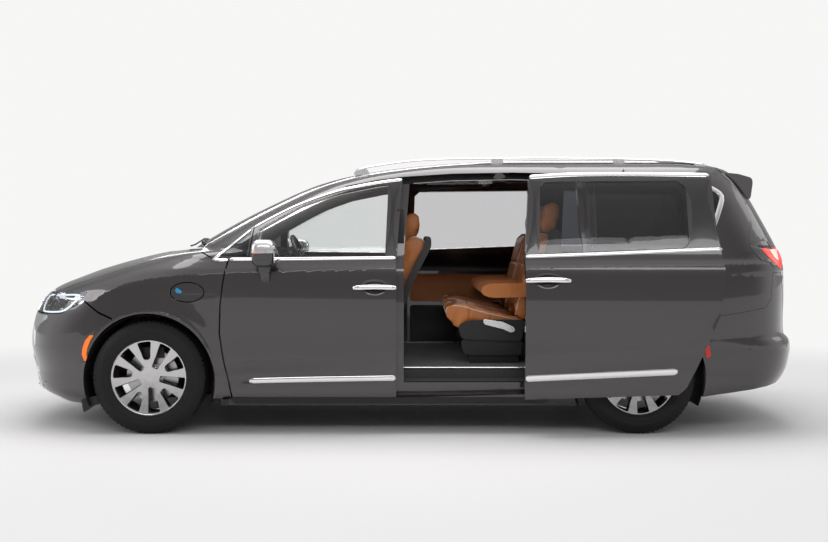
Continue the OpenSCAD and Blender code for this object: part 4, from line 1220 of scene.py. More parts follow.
class MakeLamps(Make):
    """Builds the headlamps and tail lamps behind their lenses"""
    bl_idname = "minivan.make_lamps"
    bl_label = "Lamps"

    def cover(self, node, slot):
        """The lens of a lamp, with its dark inner face."""
        new_piece(node + "_lens", laid_shell(node, even(LENS_STEP), False), "root", slot, slot, "gloss_black",
                  stands_for=[node])

    def projector(self, y, z, size, side):
        """A lamp's round reflector."""
        v, f = turned([(1, 0), (size, 0), (size, 26), (size - 5, 34), (size - 9, 30), (size - 12, 20),
                       (size - 16, 26), (1, 33)], 40)
        return facing_out(v, f, *laid([(y * side, z)], "nose", -66))

    def execute(self, context):
        self.cover("headlamps", "lamp_clear")
        self.cover("tail_lamps", "lamp_red")
        for side, view in SIDES:
            ring = [(2096, 876), (2302, 868), (2378, 862), (2402, 822), (2398, 770), (2372, 759), (2212, 771),
                    (2132, 824)]
            flat = along(ring, 14, True)
            p, n = laid(flat, view, -11)
            light = swept(p, n, [(-5, -3), (-5, 4), (0, 6), (5, 4), (5, -3)], True)
            fit(f"headlamp_light_line_{view}", light, "root", "lamp_clear", "lamp_glow")
            deck, m = laid(along([(2150, 812), (2290, 806), (2385, 800)], 14), view, -22)
            fins = swept(deck, m, [(-4, -20), (-4, 3), (4, 3), (4, -20)])
            bowls = [self.projector(y, z, size, side)
                     for y, z, size in ((755, 834, 19), (690, 832, 23), (610, 830, 23), (700, 786, 16),
                                        (620, 784, 16), (540, 790, 14))]
            fit(f"headlamp_projectors_{view}", joined(fins, *bowls), "root", "chrome_trim", "alloy_dark")
            glow = [(-2268, 1168), (-2348, 1082), (-2412, 1034), (-2416, 1050), (-2406, 1172)]
            tube = slab(softened(glow, 12), view, 5.5, 3, step=16)
            core = slab(softened([(-2330, 1160), (-2366, 1106), (-2398, 1088), (-2398, 1162)], 10), view, 8.8,
                        1.5, step=16)
            fit(f"tail_light_core_{view}", core, "root", "lamp_red", "lamp_red_core")
            fit(f"tail_light_line_{view}", tube, "root", "lamp_red", "lamp_red_glow")
            smoked = slab([(-2189, 1192), (-2195, 1168), (-2262, 1091), (-2348, 1033), (-2424, 1018),
                           (-2430, 1100), (-2414, 1190)], view, 2.0, 3, step=20)
            fit(f"tail_lamp_edge_{view}", smoked, "root", "gloss_black")
            band = [(s * side, z) for s, z in ((742, 1040), (742, 1172), (560, 1160), (470, 1135), (470, 1105),
                                               (560, 1075))]
            cover = slab(band, "tail", 2.0, 5, step=26)
            fit(f"tailgate_lamp_{view}", cover, "tailgate", "lamp_red")
            line = slab([(s * side, z) for s,
                         z in ((738, 1062), (738, 1164), (600, 1152), (560, 1140), (600, 1090))],
                        "tail", 5.4, 3, step=22)
            fit(f"tailgate_light_{view}", line, "tailgate", "lamp_red", "lamp_red_glow")
        return {"FINISHED"}


class MakeFittings(Make):
    """Adds the mirrors, handles, rails, grille, wipers, guards and small outside fittings"""
    bl_idname = "minivan.make_fittings"
    bl_label = "Outside fittings"

    def handle(self, at, z, half, view, shift=(0, 0, 0)):
        """A grip that stands off the door over its cup."""
        xs = np.linspace(at + half, at - half, 21)
        flat = np.stack([xs, z + 5 * np.sin((xs - at + half) / (2 * half) * math.pi)], 1)
        p, n = laid(flat, view, 0, shift)
        reach = np.linspace(-1, 1, 21)
        p += n * (30 - 16 * np.abs(reach) ** 6 - pressing(p - np.array(shift)))[:, None]
        return swept(p, n, [(-13, -3), (-14, 4), (-8, 9), (8, 9), (14, 4), (13, -3), (0, -6)], False, 1 - 0.3
                     * np.abs(reach) ** 5)

    def mirror_parts(self):
        """Cap, band, foot and mirror glass, in mm on the left."""
        def level(y, s, high, low, x=877, z=1141):
            out = []
            for k in range(32):
                a = 2 * math.pi * (k + 0.5) / 32
                c, d = math.cos(a), math.sin(a)
                out.append((x - 76 * s * math.copysign(abs(c) ** 0.6, c), y,
                            z + np.clip(88 * s * math.copysign(abs(d) ** 0.6, d), low, high)))
            return out
        ys = ((1005, 0.80), (1012, 0.92), (1030, 0.99), (1095, 0.99), (1125, 0.93), (1141, 0.78), (1149, 0.52))
        cap = ringed([level(y, s, 90, 4) for y, s in ys])
        bowl = ringed([level(y, s * 0.97, 2, -88) for y, s in ys])
        foot = ringed([[(877 + 36 * math.copysign(abs(math.cos(a)) ** 0.7, math.cos(a)), y, z + h * math.sin(a))
                        for a in np.arange(16) * math.pi / 8]
                       for y, z, h in ((956, 948, 24), (984, 968, 30), (1010, 990, 30), (1048, 1050, 36))])
        amber = [(x, 1144, z) for x, z in ((930, 1146), (880, 1148), (838, 1152))]
        band = swept(amber, [(0, 1, 0)] * 3, [(-5, -5), (-5, 3), (0, 4), (5, 3), (5, -5)])
        glass = moulded_block([(1022, 1080), (1130, 1080), (1136, 1190), (1016, 1190)], 803.5, 807.5, 1.5, 0,
                              24)
        return cap, bowl, foot, band, glass

    def execute(self, context):
        for side, view in SIDES:
            door = f"front_door_{view}"
            moved = door_place(view)
            cap, bowl, foot, band, glass = (on_side(side, part) for part in self.mirror_parts())
            fit(f"mirror_bowl_{view}", joined(bowl, foot), door, "gloss_black", stands_for=[f"mirror_{view}"])
            fit(f"mirror_cap_{view}", cap, door, "chrome_trim", "satin_rail")
            fit(f"mirror_signal_{view}", band, door, "lamp_clear", "lamp_amber")
            fit(f"mirror_glass_{view}", glass, door, "chrome_trim", "mirror_face")
            fit(f"door_handle_{view}", self.handle(193, 925, 132, view), door, "chrome_trim")
            fit(f"sliding_handle_{view}", self.handle(-91, 973, 136, view, moved), "root", "chrome_trim")
            fit(f"door_handle_end_{view}", self.end_cap(64, 925, view), door, "gloss_black")
            liners = [self.liner(FRONT_AXLE, 532, 972), self.liner(REAR_AXLE, 620, 962)]
            fit(f"arch_liners_{view}", on_side(side, joined(*liners)), "root", "underbody", "trim_black")
            guards = [moulded_block([(2052, 214), (2040, 138), (2016, 150), (1940, 200), (1950, 236)], 650,
                                    935, 4, 1, 6),
                      moulded_block([(1150, 216), (1158, 190), (1120, 190), (1110, 222)], 780, 985, 4, 1, 6)]
            fit(f"air_guards_{view}", on_side(side, joined(*guards)), "root", "underbody", "trim_black")
            sill = slab([(1120, 232), (1080, 190), (-880, 190), (-905, 214), (-905, 232)], view, 2.0, 5,
                        step=90)
            fit(f"sill_cover_{view}", sill, "root", "underbody", "trim_black")
            dots = [self.button(x, z, view) for x, z in ((2049, 450), (-2173, 531), (-2470, 540))]
            fit(f"parking_sensors_{view}", joined(*dots), "root", "gloss_black")
            slit = slab([(2380, 302), (2140, 296), (2140, 288), (2380, 276)], view, 1.2, 3, step=24)
            fit(f"bumper_slit_{view}", slit, "root", "gloss_black")
            rail = self.rail()
            fit(f"roof_rail_{view}", on_side(side, rail), "root", "satin_rail",
                stands_for=["roof_rails"] if side > 0 else ())
            v, f = moulded_block([(-2096, 1656), (-2180, 1648), (-2264, 1624), (-2270, 1600), (-2262, 1503),
                                  (-2244, 1500), (-2160, 1588)], 578, 634, 10, 1, 12)
            blade = v + np.outer(v[:, 2] - 1640, (0, 0.16, 0)), f
            fit(f"spoiler_blade_{view}", on_side(side, blade), "tailgate", "body_paint")
        mark = slab([(1432, 926), (1408, 912), (1398, 900), (1406, 890), (1430, 893), (1442, 908)], "left",
                    1.2, 2.6,
                    step=12)
        # The charge mark's glow is painted light.
        fit("charge_mark", mark, "charge_port_door", "gloss_black", "port_mark_painted_glow")
        self.grille()
        self.wipers()
        return {"FINISHED"}

    def end_cap(self, x, z, view):
        """The fixed end of a grip, with its lock."""
        p, n = laid([(x + 26, z - 3), (x + 12, z - 1), (x, z)], view, 12)
        return swept(p, n, [(-13, -4), (-14, 5), (-8, 9), (8, 9), (14, 5), (13, -4)], False,
                     np.array([1, 1, 0.7]))

    def button(self, x, z, view):
        """A round sensor."""
        v, f = turned([(0.5, -3), (9, -3), (9, 1.2), (6, 2.0), (0.5, 2.0)], 20)
        return facing_out(v, f, *laid([(x, z)], view))

    def liner(self, x, y0, y1):
        """Inner arch, open below."""
        angles = np.radians(np.arange(-24, 205, 6))
        built = []
        for r, y in ((410, y1), (407, y1 - 5), (404, y0 + 20), (300, y0), (296, y0), (300, y0 - 4),
                     (406, y0 + 14),
                     (412, y0 + 30), (412, y1)):
            built.append([(x + r * math.cos(a), y, ARCH_Z + r * math.sin(a)) for a in angles])
        return ringed(built, closed=False, caps=False)

    def rail(self):
        """A roof rail and its feet, on the left."""
        flat = along([(326, 1678), (250, 1704), (-100, 1749), (-600, 1761), (-1200, 1761), (-1700, 1747),
                      (-1960, 1722), (-1984, 1713)], 40)
        p = np.stack([flat[:, 0], np.full(len(flat), 612.0), flat[:, 1]], 1)
        ahead = np.gradient(p, axis=0)
        n = np.stack([-ahead[:, 2], 0 * ahead[:, 0], ahead[:, 0]], 1)
        n *= np.sign(n[:, 2])[:, None]
        n /= np.linalg.norm(n, axis=1, keepdims=True)
        bar = swept(p, n, [(-12, -6), (-13, 0), (-8, 5), (8, 5), (13, 0), (12, -6)])
        feet = [moulded_block([(x + 50, 1655), (x + 30, top), (x - 30, top), (x - 50, 1655)], 600, 624, 5, 1,
                              10)
                for x, top in ((290, 1688), (-600, 1757), (-1400, 1755), (-1930, 1722))]
        return joined(bar, *feet)

    def grille(self):
        """Hexagon mesh in both openings, bright edges, sensor cover and number plate."""
        def mesh_in(outline, step, high):
            cells, ys = [], [y for y, _ in outline]
            zs = [z for _, z in outline]
            row = 0
            for z in np.arange(min(zs), max(zs), step * 0.87):
                for y in np.arange(min(ys) + (row % 2) * step / 2, max(ys), step):
                    if inside(np.array([(y, z)]), outline)[0]:
                        hexagon = [(y + 0.5 * step * math.cos(a), z + high * 0.5 * step * math.sin(a))
                                   for a in np.radians(np.arange(0, 360, 60))]
                        p, n = laid(hexagon, "nose", -8)
                        cells.append(swept(p, n, [(-2, -8), (-2, 3), (2, 3), (2, -8)], True))
                row += 1
            return joined(*cells)
        lower = [(-556, 254), (556, 254), (497, 436), (-497, 436)]
        upper = [(-396, 769), (396, 769), (396, 822), (-396, 822)]
        cells = joined(mesh_in(lower, 34, 1.0), mesh_in(upper, 30, 0.8))
        fit("grille_mesh", cells, "root", "gloss_black")
        bright = []
        for line, width in (([(-600, 250), (-300, 240), (0, 238), (300, 240), (600, 250)], 36),
                            ([(-500, 440), (0, 444), (500, 440)], 18),
                            ([(-400, 764), (0, 762), (400, 764)], 14),
                            ([(-400, 828), (0, 831), (400, 828)], 14),
                            ([(-566, 256), (-506, 438)], 28), ([(566, 256), (506, 438)], 28)):
            p, n = laid(along(line, 30), "nose", 0.5)
            bright.append(swept(p, n, moulding(width, 6)))
        fit("grille_bright", joined(*bright), "root", "chrome_trim")
        for s, view in SIDES:
            brow = [(396, 828), (396, 762), (470, 700), (560, 672), (600, 600), (622, 520), (640, 540),
                    (632, 640), (700, 690), (742, 712), (736, 736), (600, 735), (470, 752), (410, 800)]
            wing = slab([(y * s, z) for y, z in softened(brow, 16)], "nose", 3.5, 5, step=22)
            fit(f"nose_wing_{view}", wing, "root", "chrome_trim")
        plate = slab(softened([(-150, 500), (150, 500), (150, 610), (-150, 610)], 12), "nose", 5, 6, step=60)
        fit("front_plate", plate, "root", "cabin_plastic", "trim_black")
        rear = moulded_block([(-152, 826), (152, 826), (152, 944), (-152, 944)], -2511, -2505.5, 1.5, 0, 12)
        fit("rear_plate", rear, "tailgate", "cabin_plastic", "satin_rail")

    def wipers(self):
        """Wipers of both screens, and the cover they stand on."""
        arms = []
        for y0, y1 in ((120, 640), (-560, 30)):
            ys = np.linspace(y0, y1, 18)
            xs = np.interp(ys, [y0, y1], [1382, 1330]) if y0 > 0 else np.interp(ys, [y0, y1], [1360, 1394])
            flat = np.stack([xs, ys], 1)
            p, n = laid(flat, "top", 16)
            arms.append(swept(p, n, [(-7, -5), (-5, 3), (5, 3), (7, -5), (2, -16), (-2, -16)]))
            p, n = laid([(1440, (y0 + y1) / 2 + 90), (1412, (y0 + y1) / 2 + 50), (xs[9] + 6, (y0 + y1) / 2)],
                        "top", 22)
            arms.append(swept(p, n, [(-9, -6), (-7, 4), (7, 4), (9, -6)]))
        cowl = slab([(1470, -600), (1404, -700), (1408, 700), (1470, 600), (1492, 250), (1492, -250)], "top",
                    -14, 4,
                    step=60)
        fit("screen_wipers", joined(*arms), "root", "cabin_plastic", "trim_black")
        fit("cowl_cover", cowl, "root", "cabin_plastic", "trim_black")
        p, n = laid([(40, 1150), (60, 1180), (250, 1200), (430, 1190)], "tail", 16)
        rear = swept(p, n, [(-7, -5), (-5, 3), (5, 3), (7, -5), (2, -14), (-2, -14)])
        fit("rear_wiper", rear, "tailgate", "cabin_plastic", "trim_black")


SEAM_DEPTH, SEAM_WIDTH = 5.0, 7.0
FRONT_Y, MIDDLE_Y, BENCH_Y = 395, 420, 400
CENTRE_PANEL = 158


class MakeSeats(Make):
    """Sews and inflates the seat cushions and sets them on their bases"""
    bl_idname = "minivan.make_seats"
    bl_label = "Seats"
    VOXEL = 0.018

    def pillow(self, name, outline, half, edge=42.0, radius=45.0, seams=()):
        """A pad's mesh: a slack form remeshed, blown up as cloth, then pressed along its seams."""
        mesh = part_mesh(name, moulded_block(outline, -half, half, edge, 1, radius))
        piece = bpy.data.objects.new(name, mesh)
        bpy.context.scene.collection.objects.link(piece)
        remesh = piece.modifiers.new("remesh", "REMESH")
        remesh.mode, remesh.voxel_size = "VOXEL", self.VOXEL
        mesh = self.applied(piece)
        start = np.empty(len(mesh.vertices) * 3)
        mesh.vertices.foreach_get("co", start)
        start = start.reshape(-1, 3)
        end = start
        cloth = piece.modifiers.new("cloth", "CLOTH")
        cloth.settings.use_pressure, cloth.settings.uniform_pressure_force = True, 4.0
        cloth.settings.quality = 4
        cloth.settings.effector_weights.gravity = 0.0
        cloth.settings.tension_stiffness = cloth.settings.compression_stiffness = 12.0
        for at in range(1, 21):
            bpy.context.scene.frame_set(at)
        blown = piece.evaluated_get(bpy.context.evaluated_depsgraph_get()).data
        end = np.empty(len(blown.vertices) * 3)
        blown.vertices.foreach_get("co", end)
        end = end.reshape(-1, 3)
        piece.modifiers.remove(cloth)
        bpy.context.scene.frame_set(1)
        step = end - start
        far = np.linalg.norm(step, axis=1, keepdims=True)
        cap = self.sizes.puff
        end = start + step * np.minimum(1.0, cap / np.maximum(far, 1e-9))
        mesh.vertices.foreach_set("co", end.ravel())
        finer = piece.modifiers.new("finer", "SUBSURF")
        finer.levels = finer.render_levels = 1
        mesh = self.applied(piece)
        p = np.empty(len(mesh.vertices) * 3)
        mesh.vertices.foreach_get("co", p)
        n = np.empty(len(mesh.vertices) * 3)
        mesh.vertices.foreach_get("normal", n)
        p, n = p.reshape(-1, 3), n.reshape(-1, 3)
        for seam in seams:
            p -= n * (seam(p / MM)[:, None] * MM)
        mesh.vertices.foreach_set("co", p.ravel())
        mesh.polygons.foreach_set("use_smooth", np.ones(len(mesh.polygons), bool))
        mesh.update()
        bpy.data.objects.remove(piece)
        return mesh

    def applied(self, piece):
        """A piece's mesh with its modifiers in it."""
        graph = bpy.context.evaluated_depsgraph_get()
        mesh = bpy.data.meshes.new_from_object(piece.evaluated_get(graph))
        piece.modifiers.clear()
        piece.data = mesh
        return mesh

    def placed(self, name, pattern, y, fill, finishes, middle=None):
        """One pad from its pattern, with its centre panel in a second finish."""
        mesh = pattern.copy()
        mesh.transform(Matrix.Translation((0, y * MM, 0)))
        if middle:
            at = np.empty(len(mesh.polygons) * 3)
            mesh.polygons.foreach_get("center", at)
            at = at.reshape(-1, 3) / MM - (0, y, 0)
            mesh.polygons.foreach_set("material_index", middle(at).astype(np.int32))
        piece = new_piece(name, mesh, "root", "tan_leather", *finishes)
        return piece

    def seat(self, row, view, shell, y, fill, lean, head_shift):
        """One seat's cushion, back and headrest. Its centre panels are pricked ahead of a leaning line from lean[0]
        at the cushion to lean[1] at the top, where lean is given."""
        def centre(at):
            return np.abs(at[:, 1]) < CENTRE_PANEL

        def centre_ahead(at):
            return centre(at) & (at[:, 0] > np.interp(at[:, 2], [700, 1280], lean))

        finishes = ("tan_leather", "tan_pricked") if lean else ("tan_leather",)
        for kind, middle in (("cushion", centre), ("back", centre_ahead)):
            self.placed(f"{row}_{kind}_{view}", shell[f"{row}_{kind}"], y, fill, finishes, lean and middle)
        head = shell["headrest"].copy()
        head.transform(Matrix.Translation(head_shift))
        self.placed(f"{row}_headrest_{view}", head, y, 0.8, ("tan_leather",))

    def cord(self, pattern, path, y, radius=3.6):
        """Piping that follows a pad's surface."""
        tree = BVHTree.FromPolygons([v.co for v in pattern.vertices], [f.vertices for f in pattern.polygons])
        points, normals = [], []
        for q in along(path, 22):
            hit = tree.find_nearest(Vector(q) * MM)
            points.append(np.array(hit[0]) / MM + np.array(hit[1]) * 1.2 + (0, y, 0))
            normals.append(np.array(hit[1]))
        return swept(points, normals, rod(radius, 8))

    def execute(self, context):
        def lines(at, width, axis=0):
            return lambda p: SEAM_DEPTH * sum(bell((p[:, axis] - x) / width, 1.0) for x in at)

        def edge(half):
            return lambda p: SEAM_DEPTH * bell((np.abs(p[:, 1]) - half) / SEAM_WIDTH, 1.0)

        front_c = [(554, 650), (566, 684), (598, 708), (590, 748), (510, 764), (330, 734), (150, 706),
                   (104, 700), (104, 676), (520, 672), (535, 652)]
        front_b = [(134, 730), (100, 700), (76, 722), (-6, 952), (-126, 1180), (-124, 1222), (-72, 1248),
                   (-8, 1222), (58, 1000)]
        mid_c = [(-330, 672), (-304, 698), (-268, 730), (-272, 778), (-345, 788), (-520, 746), (-700, 704),
                 (-756, 694), (-756, 676), (-420, 690), (-352, 668)]
        mid_b = [(-718, 722), (-764, 694), (-798, 716), (-940, 1225), (-920, 1276), (-888, 1276), (-862, 1235)]
        bench_c = [(-1296, 610), (-1276, 650), (-1246, 728), (-1286, 756), (-1670, 690), (-1735, 664),
                   (-1735, 610)]
        bench_b = [(-1684, 702), (-1750, 655), (-1830, 712), (-1946, 1190), (-1902, 1242), (-1836, 1212)]
        head = [(-68, 1310), (-98, 1300), (-152, 1316), (-178, 1440), (-176, 1478), (-146, 1496), (-96, 1474)]
        patterns = (
            ("front_cushion", front_c, 238, (), (edge(165),)),
            ("front_back", front_b, 226, (), (edge(150),)),
            ("middle_cushion", mid_c, 240, (), (edge(160), lines((-420, -560), SEAM_WIDTH))),
            ("middle_back", mid_b, 228, (), (edge(150), lines((880, 1060), SEAM_WIDTH, 2))),
            ("bench_cushion", bench_c, 192, (), (lines((-1440,), SEAM_WIDTH),)),
            ("bench_back", bench_b, 192, (), (lines((980,), SEAM_WIDTH, 2),)),
            ("headrest", head, 118, (30, 30), ()))
        shell = {name: self.pillow(name, outline, half, *form, seams=seams)
                 for name, outline, half, form, seams in patterns}
        cords, bases, posts, shells, levers = [], [], [], [], []
        for side, view in SIDES:
            y = FRONT_Y * side
            self.seat("front", view, shell, y, 0.8, (90, -100), (0.098, 0, -0.092))
            bases.append(self.block([(540, 402), (552, 560), (548, 640), (520, 668), (110, 668), (100, 402)],
                                    y, 232))
            shells.append(self.block([(92, 690), (44, 706), (-34, 940), (-158, 1182), (-156, 1236),
                                      (-136, 1240), (-130, 1184), (-12, 950), (72, 722)], y, 240, 10))
            y = MIDDLE_Y * side
            self.seat("middle", view, shell, y, 0.85, (-770, -900), (-0.835, 0, -0.022))
            bases.append(self.block([(-352, 660), (-372, 585), (-752, 570), (-764, 640), (-764, 692),
                                     (-420, 688)], y, 246, 10))
            bases.append(self.block([(-372, 560), (-380, 500), (-400, 474), (-752, 474), (-752, 562)], y, 215,
                                    10))
            bases.append(self.block([(-420, 474), (-430, 404), (-740, 404), (-740, 476)], y, 190, 6))
            shells.append(self.block([(-770, 650), (-860, 704), (-1008, 1238), (-992, 1284), (-950, 1290),
                                      (-945, 1230), (-800, 716)], y, 244, 12))
            for at in (-1, 1):
                arm = moulded_block([(-508, 880), (-516, 908), (-560, 922), (-840, 928), (-850, 880),
                                     (-800, 868), (-560, 862)], y + at * 248 - 30, y + at * 248 + 30, 16, 1,
                                    24)
                fit(f"armrest_{view}_{'outer' if at * side > 0 else 'inner'}", arm, "root", "tan_leather")
            levers.append(moulded_block([(-512, 700), (-516, 676), (-640, 645), (-690, 622), (-712, 630),
                                         (-704, 650), (-640, 680)], y + side * 248, y + side * 262, 5, 1, 10))
            for pad, ring, half, at_y in (("front_cushion", front_c[2:8], 214, FRONT_Y),
                                          ("middle_cushion", mid_c[1:8], 216, MIDDLE_Y),
                                          ("front_back", front_b[3:], 200, FRONT_Y),
                                          ("middle_back", mid_b[3:] + mid_b[:1], 204, MIDDLE_Y)):
                for s in (-1, 1):
                    path = [(a, s * half, b) for a, b in ring]
                    cords.append(self.cord(shell[pad], path, at_y * side))
            for at, x, z in ((FRONT_Y, -40, 1246), (MIDDLE_Y, -948, 1268)):
                for s in (-34, 34):
                    v, f = turned([(0.5, 0), (6, 0), (6, 64), (0.5, 64)], 12)
                    posts.append(fastened(v, f, (x, at * side + s, z - 26), -12))
        for k, view in ((-1, "right"), (0, "middle"), (1, "left")):
            self.seat("bench", view, shell, BENCH_Y * k, 0.85, None, (-1.796, 0, -0.088))
        bases.append(self.block([(-1296, 402), (-1292, 600), (-1740, 604), (-1745, 402)], 0, 598, 8))
        shells.append(self.block([(-1748, 640), (-1846, 704), (-1958, 1196), (-1940, 1206), (-1836, 712)], 0,
                                 596, 6))
        fit("seat_bases", joined(*bases), "root", "cabin_plastic", "trim_black",
            stands_for=["front_seats", "middle_seats", "rear_bench"])
        fit("seat_shells", joined(*shells), "root", "cabin_plastic", "dark_leather")
        fit("seat_piping", joined(*cords), "root", "tan_leather", "piping")
        fit("headrest_posts", joined(*posts), "root", "chrome_trim")
        fit("seat_levers", joined(*levers), "root", "satin_rail")
        return {"FINISHED"}

    def block(self, outline, y, half, edge=14):
        """A moulding centred at y."""
        return moulded_block(outline, y - half, y + half, edge, 1, 18)


class MakeCabin(Make):
    """Lines the cabin and adds the dashboard, steering wheel and console"""
    bl_idname = "minivan.make_cabin"
    bl_label = "Cabin"

    def execute(self, context):
        root, doors = ("root", "root"), ("front_door_left", "front_door_right")
        carpet = [moulded_block([(1140, -836), (1140, 836), (-1250, 836), (-1250, 560), (-1980, 545),
                                 (-1980, -545), (-1250, -560), (-1250, -836)], 400.5, 410, 4, 2, 30),
                  moulded_block([(-1990, -540), (-1990, 540), (-2410, 520), (-2410, -520)], 400.5, 412, 4, 2,
                                30)]
        mats = [moulded_block([(1080, y - 230), (1080, y + 230), (640, y + 240), (640, y - 240)], 410, 417, 4,
                              2, 60)
                for y in (400, -400)]
        fit("floor_carpet", joined(*carpet, *mats), "root", "carpet")

        def inner(outline, depth=106, thick=9, moved=False):
            return lambda v: slab(softened(outline, 30), v, -depth, thick, door_place(v, moved), 45)

        front_low = [(1010, 420), (1010, 700), (130, 690), (130, 350), (960, 350)]
        front_tan = [(1010, 730), (1010, 930), (600, 955), (130, 950), (130, 720)]
        front_top = [(1000, 975), (1000, 1075), (130, 1085), (130, 985)]
        slide_low = [(-20, 360), (-20, 700), (-1090, 690), (-1020, 510), (-960, 380), (-900, 350)]
        slide_tan = [(-20, 730), (-20, 960), (-1120, 955), (-1110, 720)]
        slide_top = [(-20, 990), (-20, 1090), (-1120, 1095), (-1120, 985)]
        for name, outline, finish, slot, moved, bodies in (
                ("door_inner_low", front_low, "cabin_plastic", "cabin_plastic", False, doors),
                ("door_inner_pad", front_tan, "tan_leather", "tan_leather", False, doors),
                ("door_inner_top", front_top, "dark_leather", "cabin_plastic", False, doors),
                ("slide_inner_low", slide_low, "cabin_plastic", "cabin_plastic", True, root),
                ("slide_inner_pad", slide_tan, "tan_leather", "tan_leather", True, root),
                ("slide_inner_top", slide_top, "dark_leather", "cabin_plastic", True, root)):
            both_sides(name, inner(outline, moved=moved), bodies, slot, finish)
        both_sides("quarter_lining", inner([(-1230, 830), (-1230, 1100), (-1990, 1100), (-1990, 830)], 132, 8),
                   root, "cabin_plastic")
        for side, view in SIDES:
            step = moulded_block([(838, 396), (838, 322), (846, 306), (892, 300), (900, 306), (896, 318),
                                  (862, 322), (852, 336), (852, 396)], -900, 44, 4, 0, 8)
            ribs = [swept([(x, y, 323) for x in np.linspace(-860, 10, 12)], [(0, 0, 1)] * 12,
                          [(-3, -2), (-2, 2.5), (2, 2.5), (3, -2)]) for y in (866, 874, 882)]
            fit(f"step_well_{view}", on_side(side, joined(step, *ribs)), "root", "cabin_plastic", "trim_black")
            line = swept([(x, 842, 409) for x in np.linspace(-890, 40, 30)], [(0, 0, 1)] * 30,
                         [(-14, -2), (-12, 3), (12, 3), (14, -2)])
            fit(f"sill_plate_{view}", on_side(side, line), "root", "satin_rail")
            belt = swept([(34, 862, z) for z in np.linspace(560, 1420, 24)], [(0, 1, 0)] * 24,
                         [(-23, -1), (-23, 1), (23, 1), (23, -1)])
            fit(f"belt_{view}", on_side(side, belt), "root", "cabin_plastic", "belt")
        self.dashboard()
        self.wheel()
        return {"FINISHED"}

    def dashboard(self):
        """Dashboard, screens, vents and console."""
        body = moulded_block([(1132, 640), (1132, 1098), (1040, 1132), (890, 1126), (818, 1082), (802, 1010),
                              (806, 955), (858, 830), (980, 650)], -748, 748, 26, 1, 34)
        top = moulded_block([(1100, 1110), (1030, 1138), (890, 1136), (836, 1104), (880, 1096), (1030, 1100)],
                            -740, 740, 30, 1, 16)
        brow = moulded_block([(910, 1128), (880, 1136), (800, 1128), (790, 1108), (830, 1090)], 215, 565, 30,
                             1, 10)
        fit("dash_body", joined(body, top, brow), "root", "cabin_plastic", stands_for=["dashboard"])
        band = moulded_block([(812, 1000), (796, 990), (800, 952), (822, 950)], -700, 700, 8, 1, 8)
        fit("dash_band", band, "root", "tan_leather")
        screen = moulded_block([(800, 1128), (784, 1122), (778, 990), (796, 990)], -130, 130, 5, 1, 4)
        dials = moulded_block([(822, 1104), (812, 1100), (806, 1010), (822, 1012)], 250, 530, 5, 1, 4)
        fit("dash_screens", joined(screen, dials), "root", "gloss_black", "screen")
        slats = []
        for y0, y1 in ((-700, -560), (-270, -150), (150, 215), (600, 700)):
            slats += [swept([(803, y, z) for y in np.linspace(y0, y1, 8)], [(-1, 0, 0.1)] * 8,
                            [(-3, -4), (-2, 4), (2, 4), (3, -4)]) for z in (1020, 1034, 1048, 1062)]
            slats.append(swept([(806, a, b) for a, b in ((y0, 1012), (y1, 1012), (y1, 1070), (y0, 1070))],
                               [(-1, 0, 0)] * 4, [(-4, -4), (-3, 4), (3, 4), (4, -4)], True))
        fit("dash_vents", joined(*slats), "root", "chrome_trim", "satin_rail")
        box = moulded_block([(64, 404), (64, 652), (120, 684), (300, 690), (560, 700), (752, 784), (784, 820),
                             (862, 700), (866, 404)], -112, 112, 16, 1, 26)
        rest = moulded_block([(70, 664), (74, 706), (120, 724), (360, 728), (380, 700), (360, 690)], -105, 105,
                             20, 1, 16)
        fit("console_body", box, "root", "cabin_plastic", stands_for=["console"])
        fit("console_rest", rest, "root", "tan_leather")
        cups = [fastened(*turned([(32, -30), (38, -30), (38, 4), (35, 6), (32, 4)], 32), (x, 0, 706)) for x in
                (440, 530)]
        dial = fastened(*turned([(0.5, 0), (30, 0), (30, 16), (26, 22), (0.5, 20)], 32), (690, 0, 752), -22)
        fit("console_rings", joined(*cups, dial), "root", "chrome_trim", "satin_rail")

    def wheel(self):
        """Steering wheel and column."""
        r, centre, tilt = 185, (700, 390, 1090), 115
        ring = [(r - 15 + 15 * math.cos(a), 15 * math.sin(a)) for a in np.arange(14) * 2 * math.pi / 14]
        rim = fastened(*turned(ring, 72), centre, tilt)
        pad = fastened(*turned([(0.5, -14), (52, -14), (64, -6), (64, 14), (50, 22), (0.5, 22)], 40), centre,
                       tilt)
        spokes = []
        for a in (math.radians(0), math.radians(110), math.radians(250)):
            path = [(k * math.cos(a), k * math.sin(a), -2) for k in (40, 90, 130, 172)]
            v, f = swept(path, [(0, 0, -1)] * 4, [(-18, -5), (-16, 5), (16, 5), (18, -5)], False,
                         np.array([1.3, 1, 0.9, 0.8]))
            spokes.append(fastened(v, f, centre, tilt))
        column = fastened(*turned([(0.5, 20), (30, 20), (30, 50), (0.5, 50)], 32), centre, tilt)
        fit("steering_rim", rim, "steering_wheel", "cabin_plastic", "dark_leather",
            stands_for=["steering_wheel"])
        fit("steering_pad", joined(pad, column), "steering_wheel", "cabin_plastic")
        fit("steering_spokes", joined(*spokes), "steering_wheel", "satin_rail")


CARRIED = {"floor_pan": "underbody", "bulkhead": "underbody", "cowl": "underbody", "battery_pack": "underbody",
           "engine": "engine_alloy", "exhaust": "exhaust_steel", "front_subframe": "chassis_iron",
           "rear_axle": "chassis_iron", "knuckle_left": "chassis_iron", "knuckle_right": "chassis_iron",
           "grille": "gloss_black"}


class FinishCarried(Make):
    """Gives the carried-over CAD parts their finishes"""
    bl_idname = "minivan.finish_carried"
    bl_label = "Carried parts"

    def execute(self, context):
        for node, finish in CARRIED.items():
            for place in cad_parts[node].material_slots:
                place.material = FINISHES[finish]
        return {"FINISHED"}


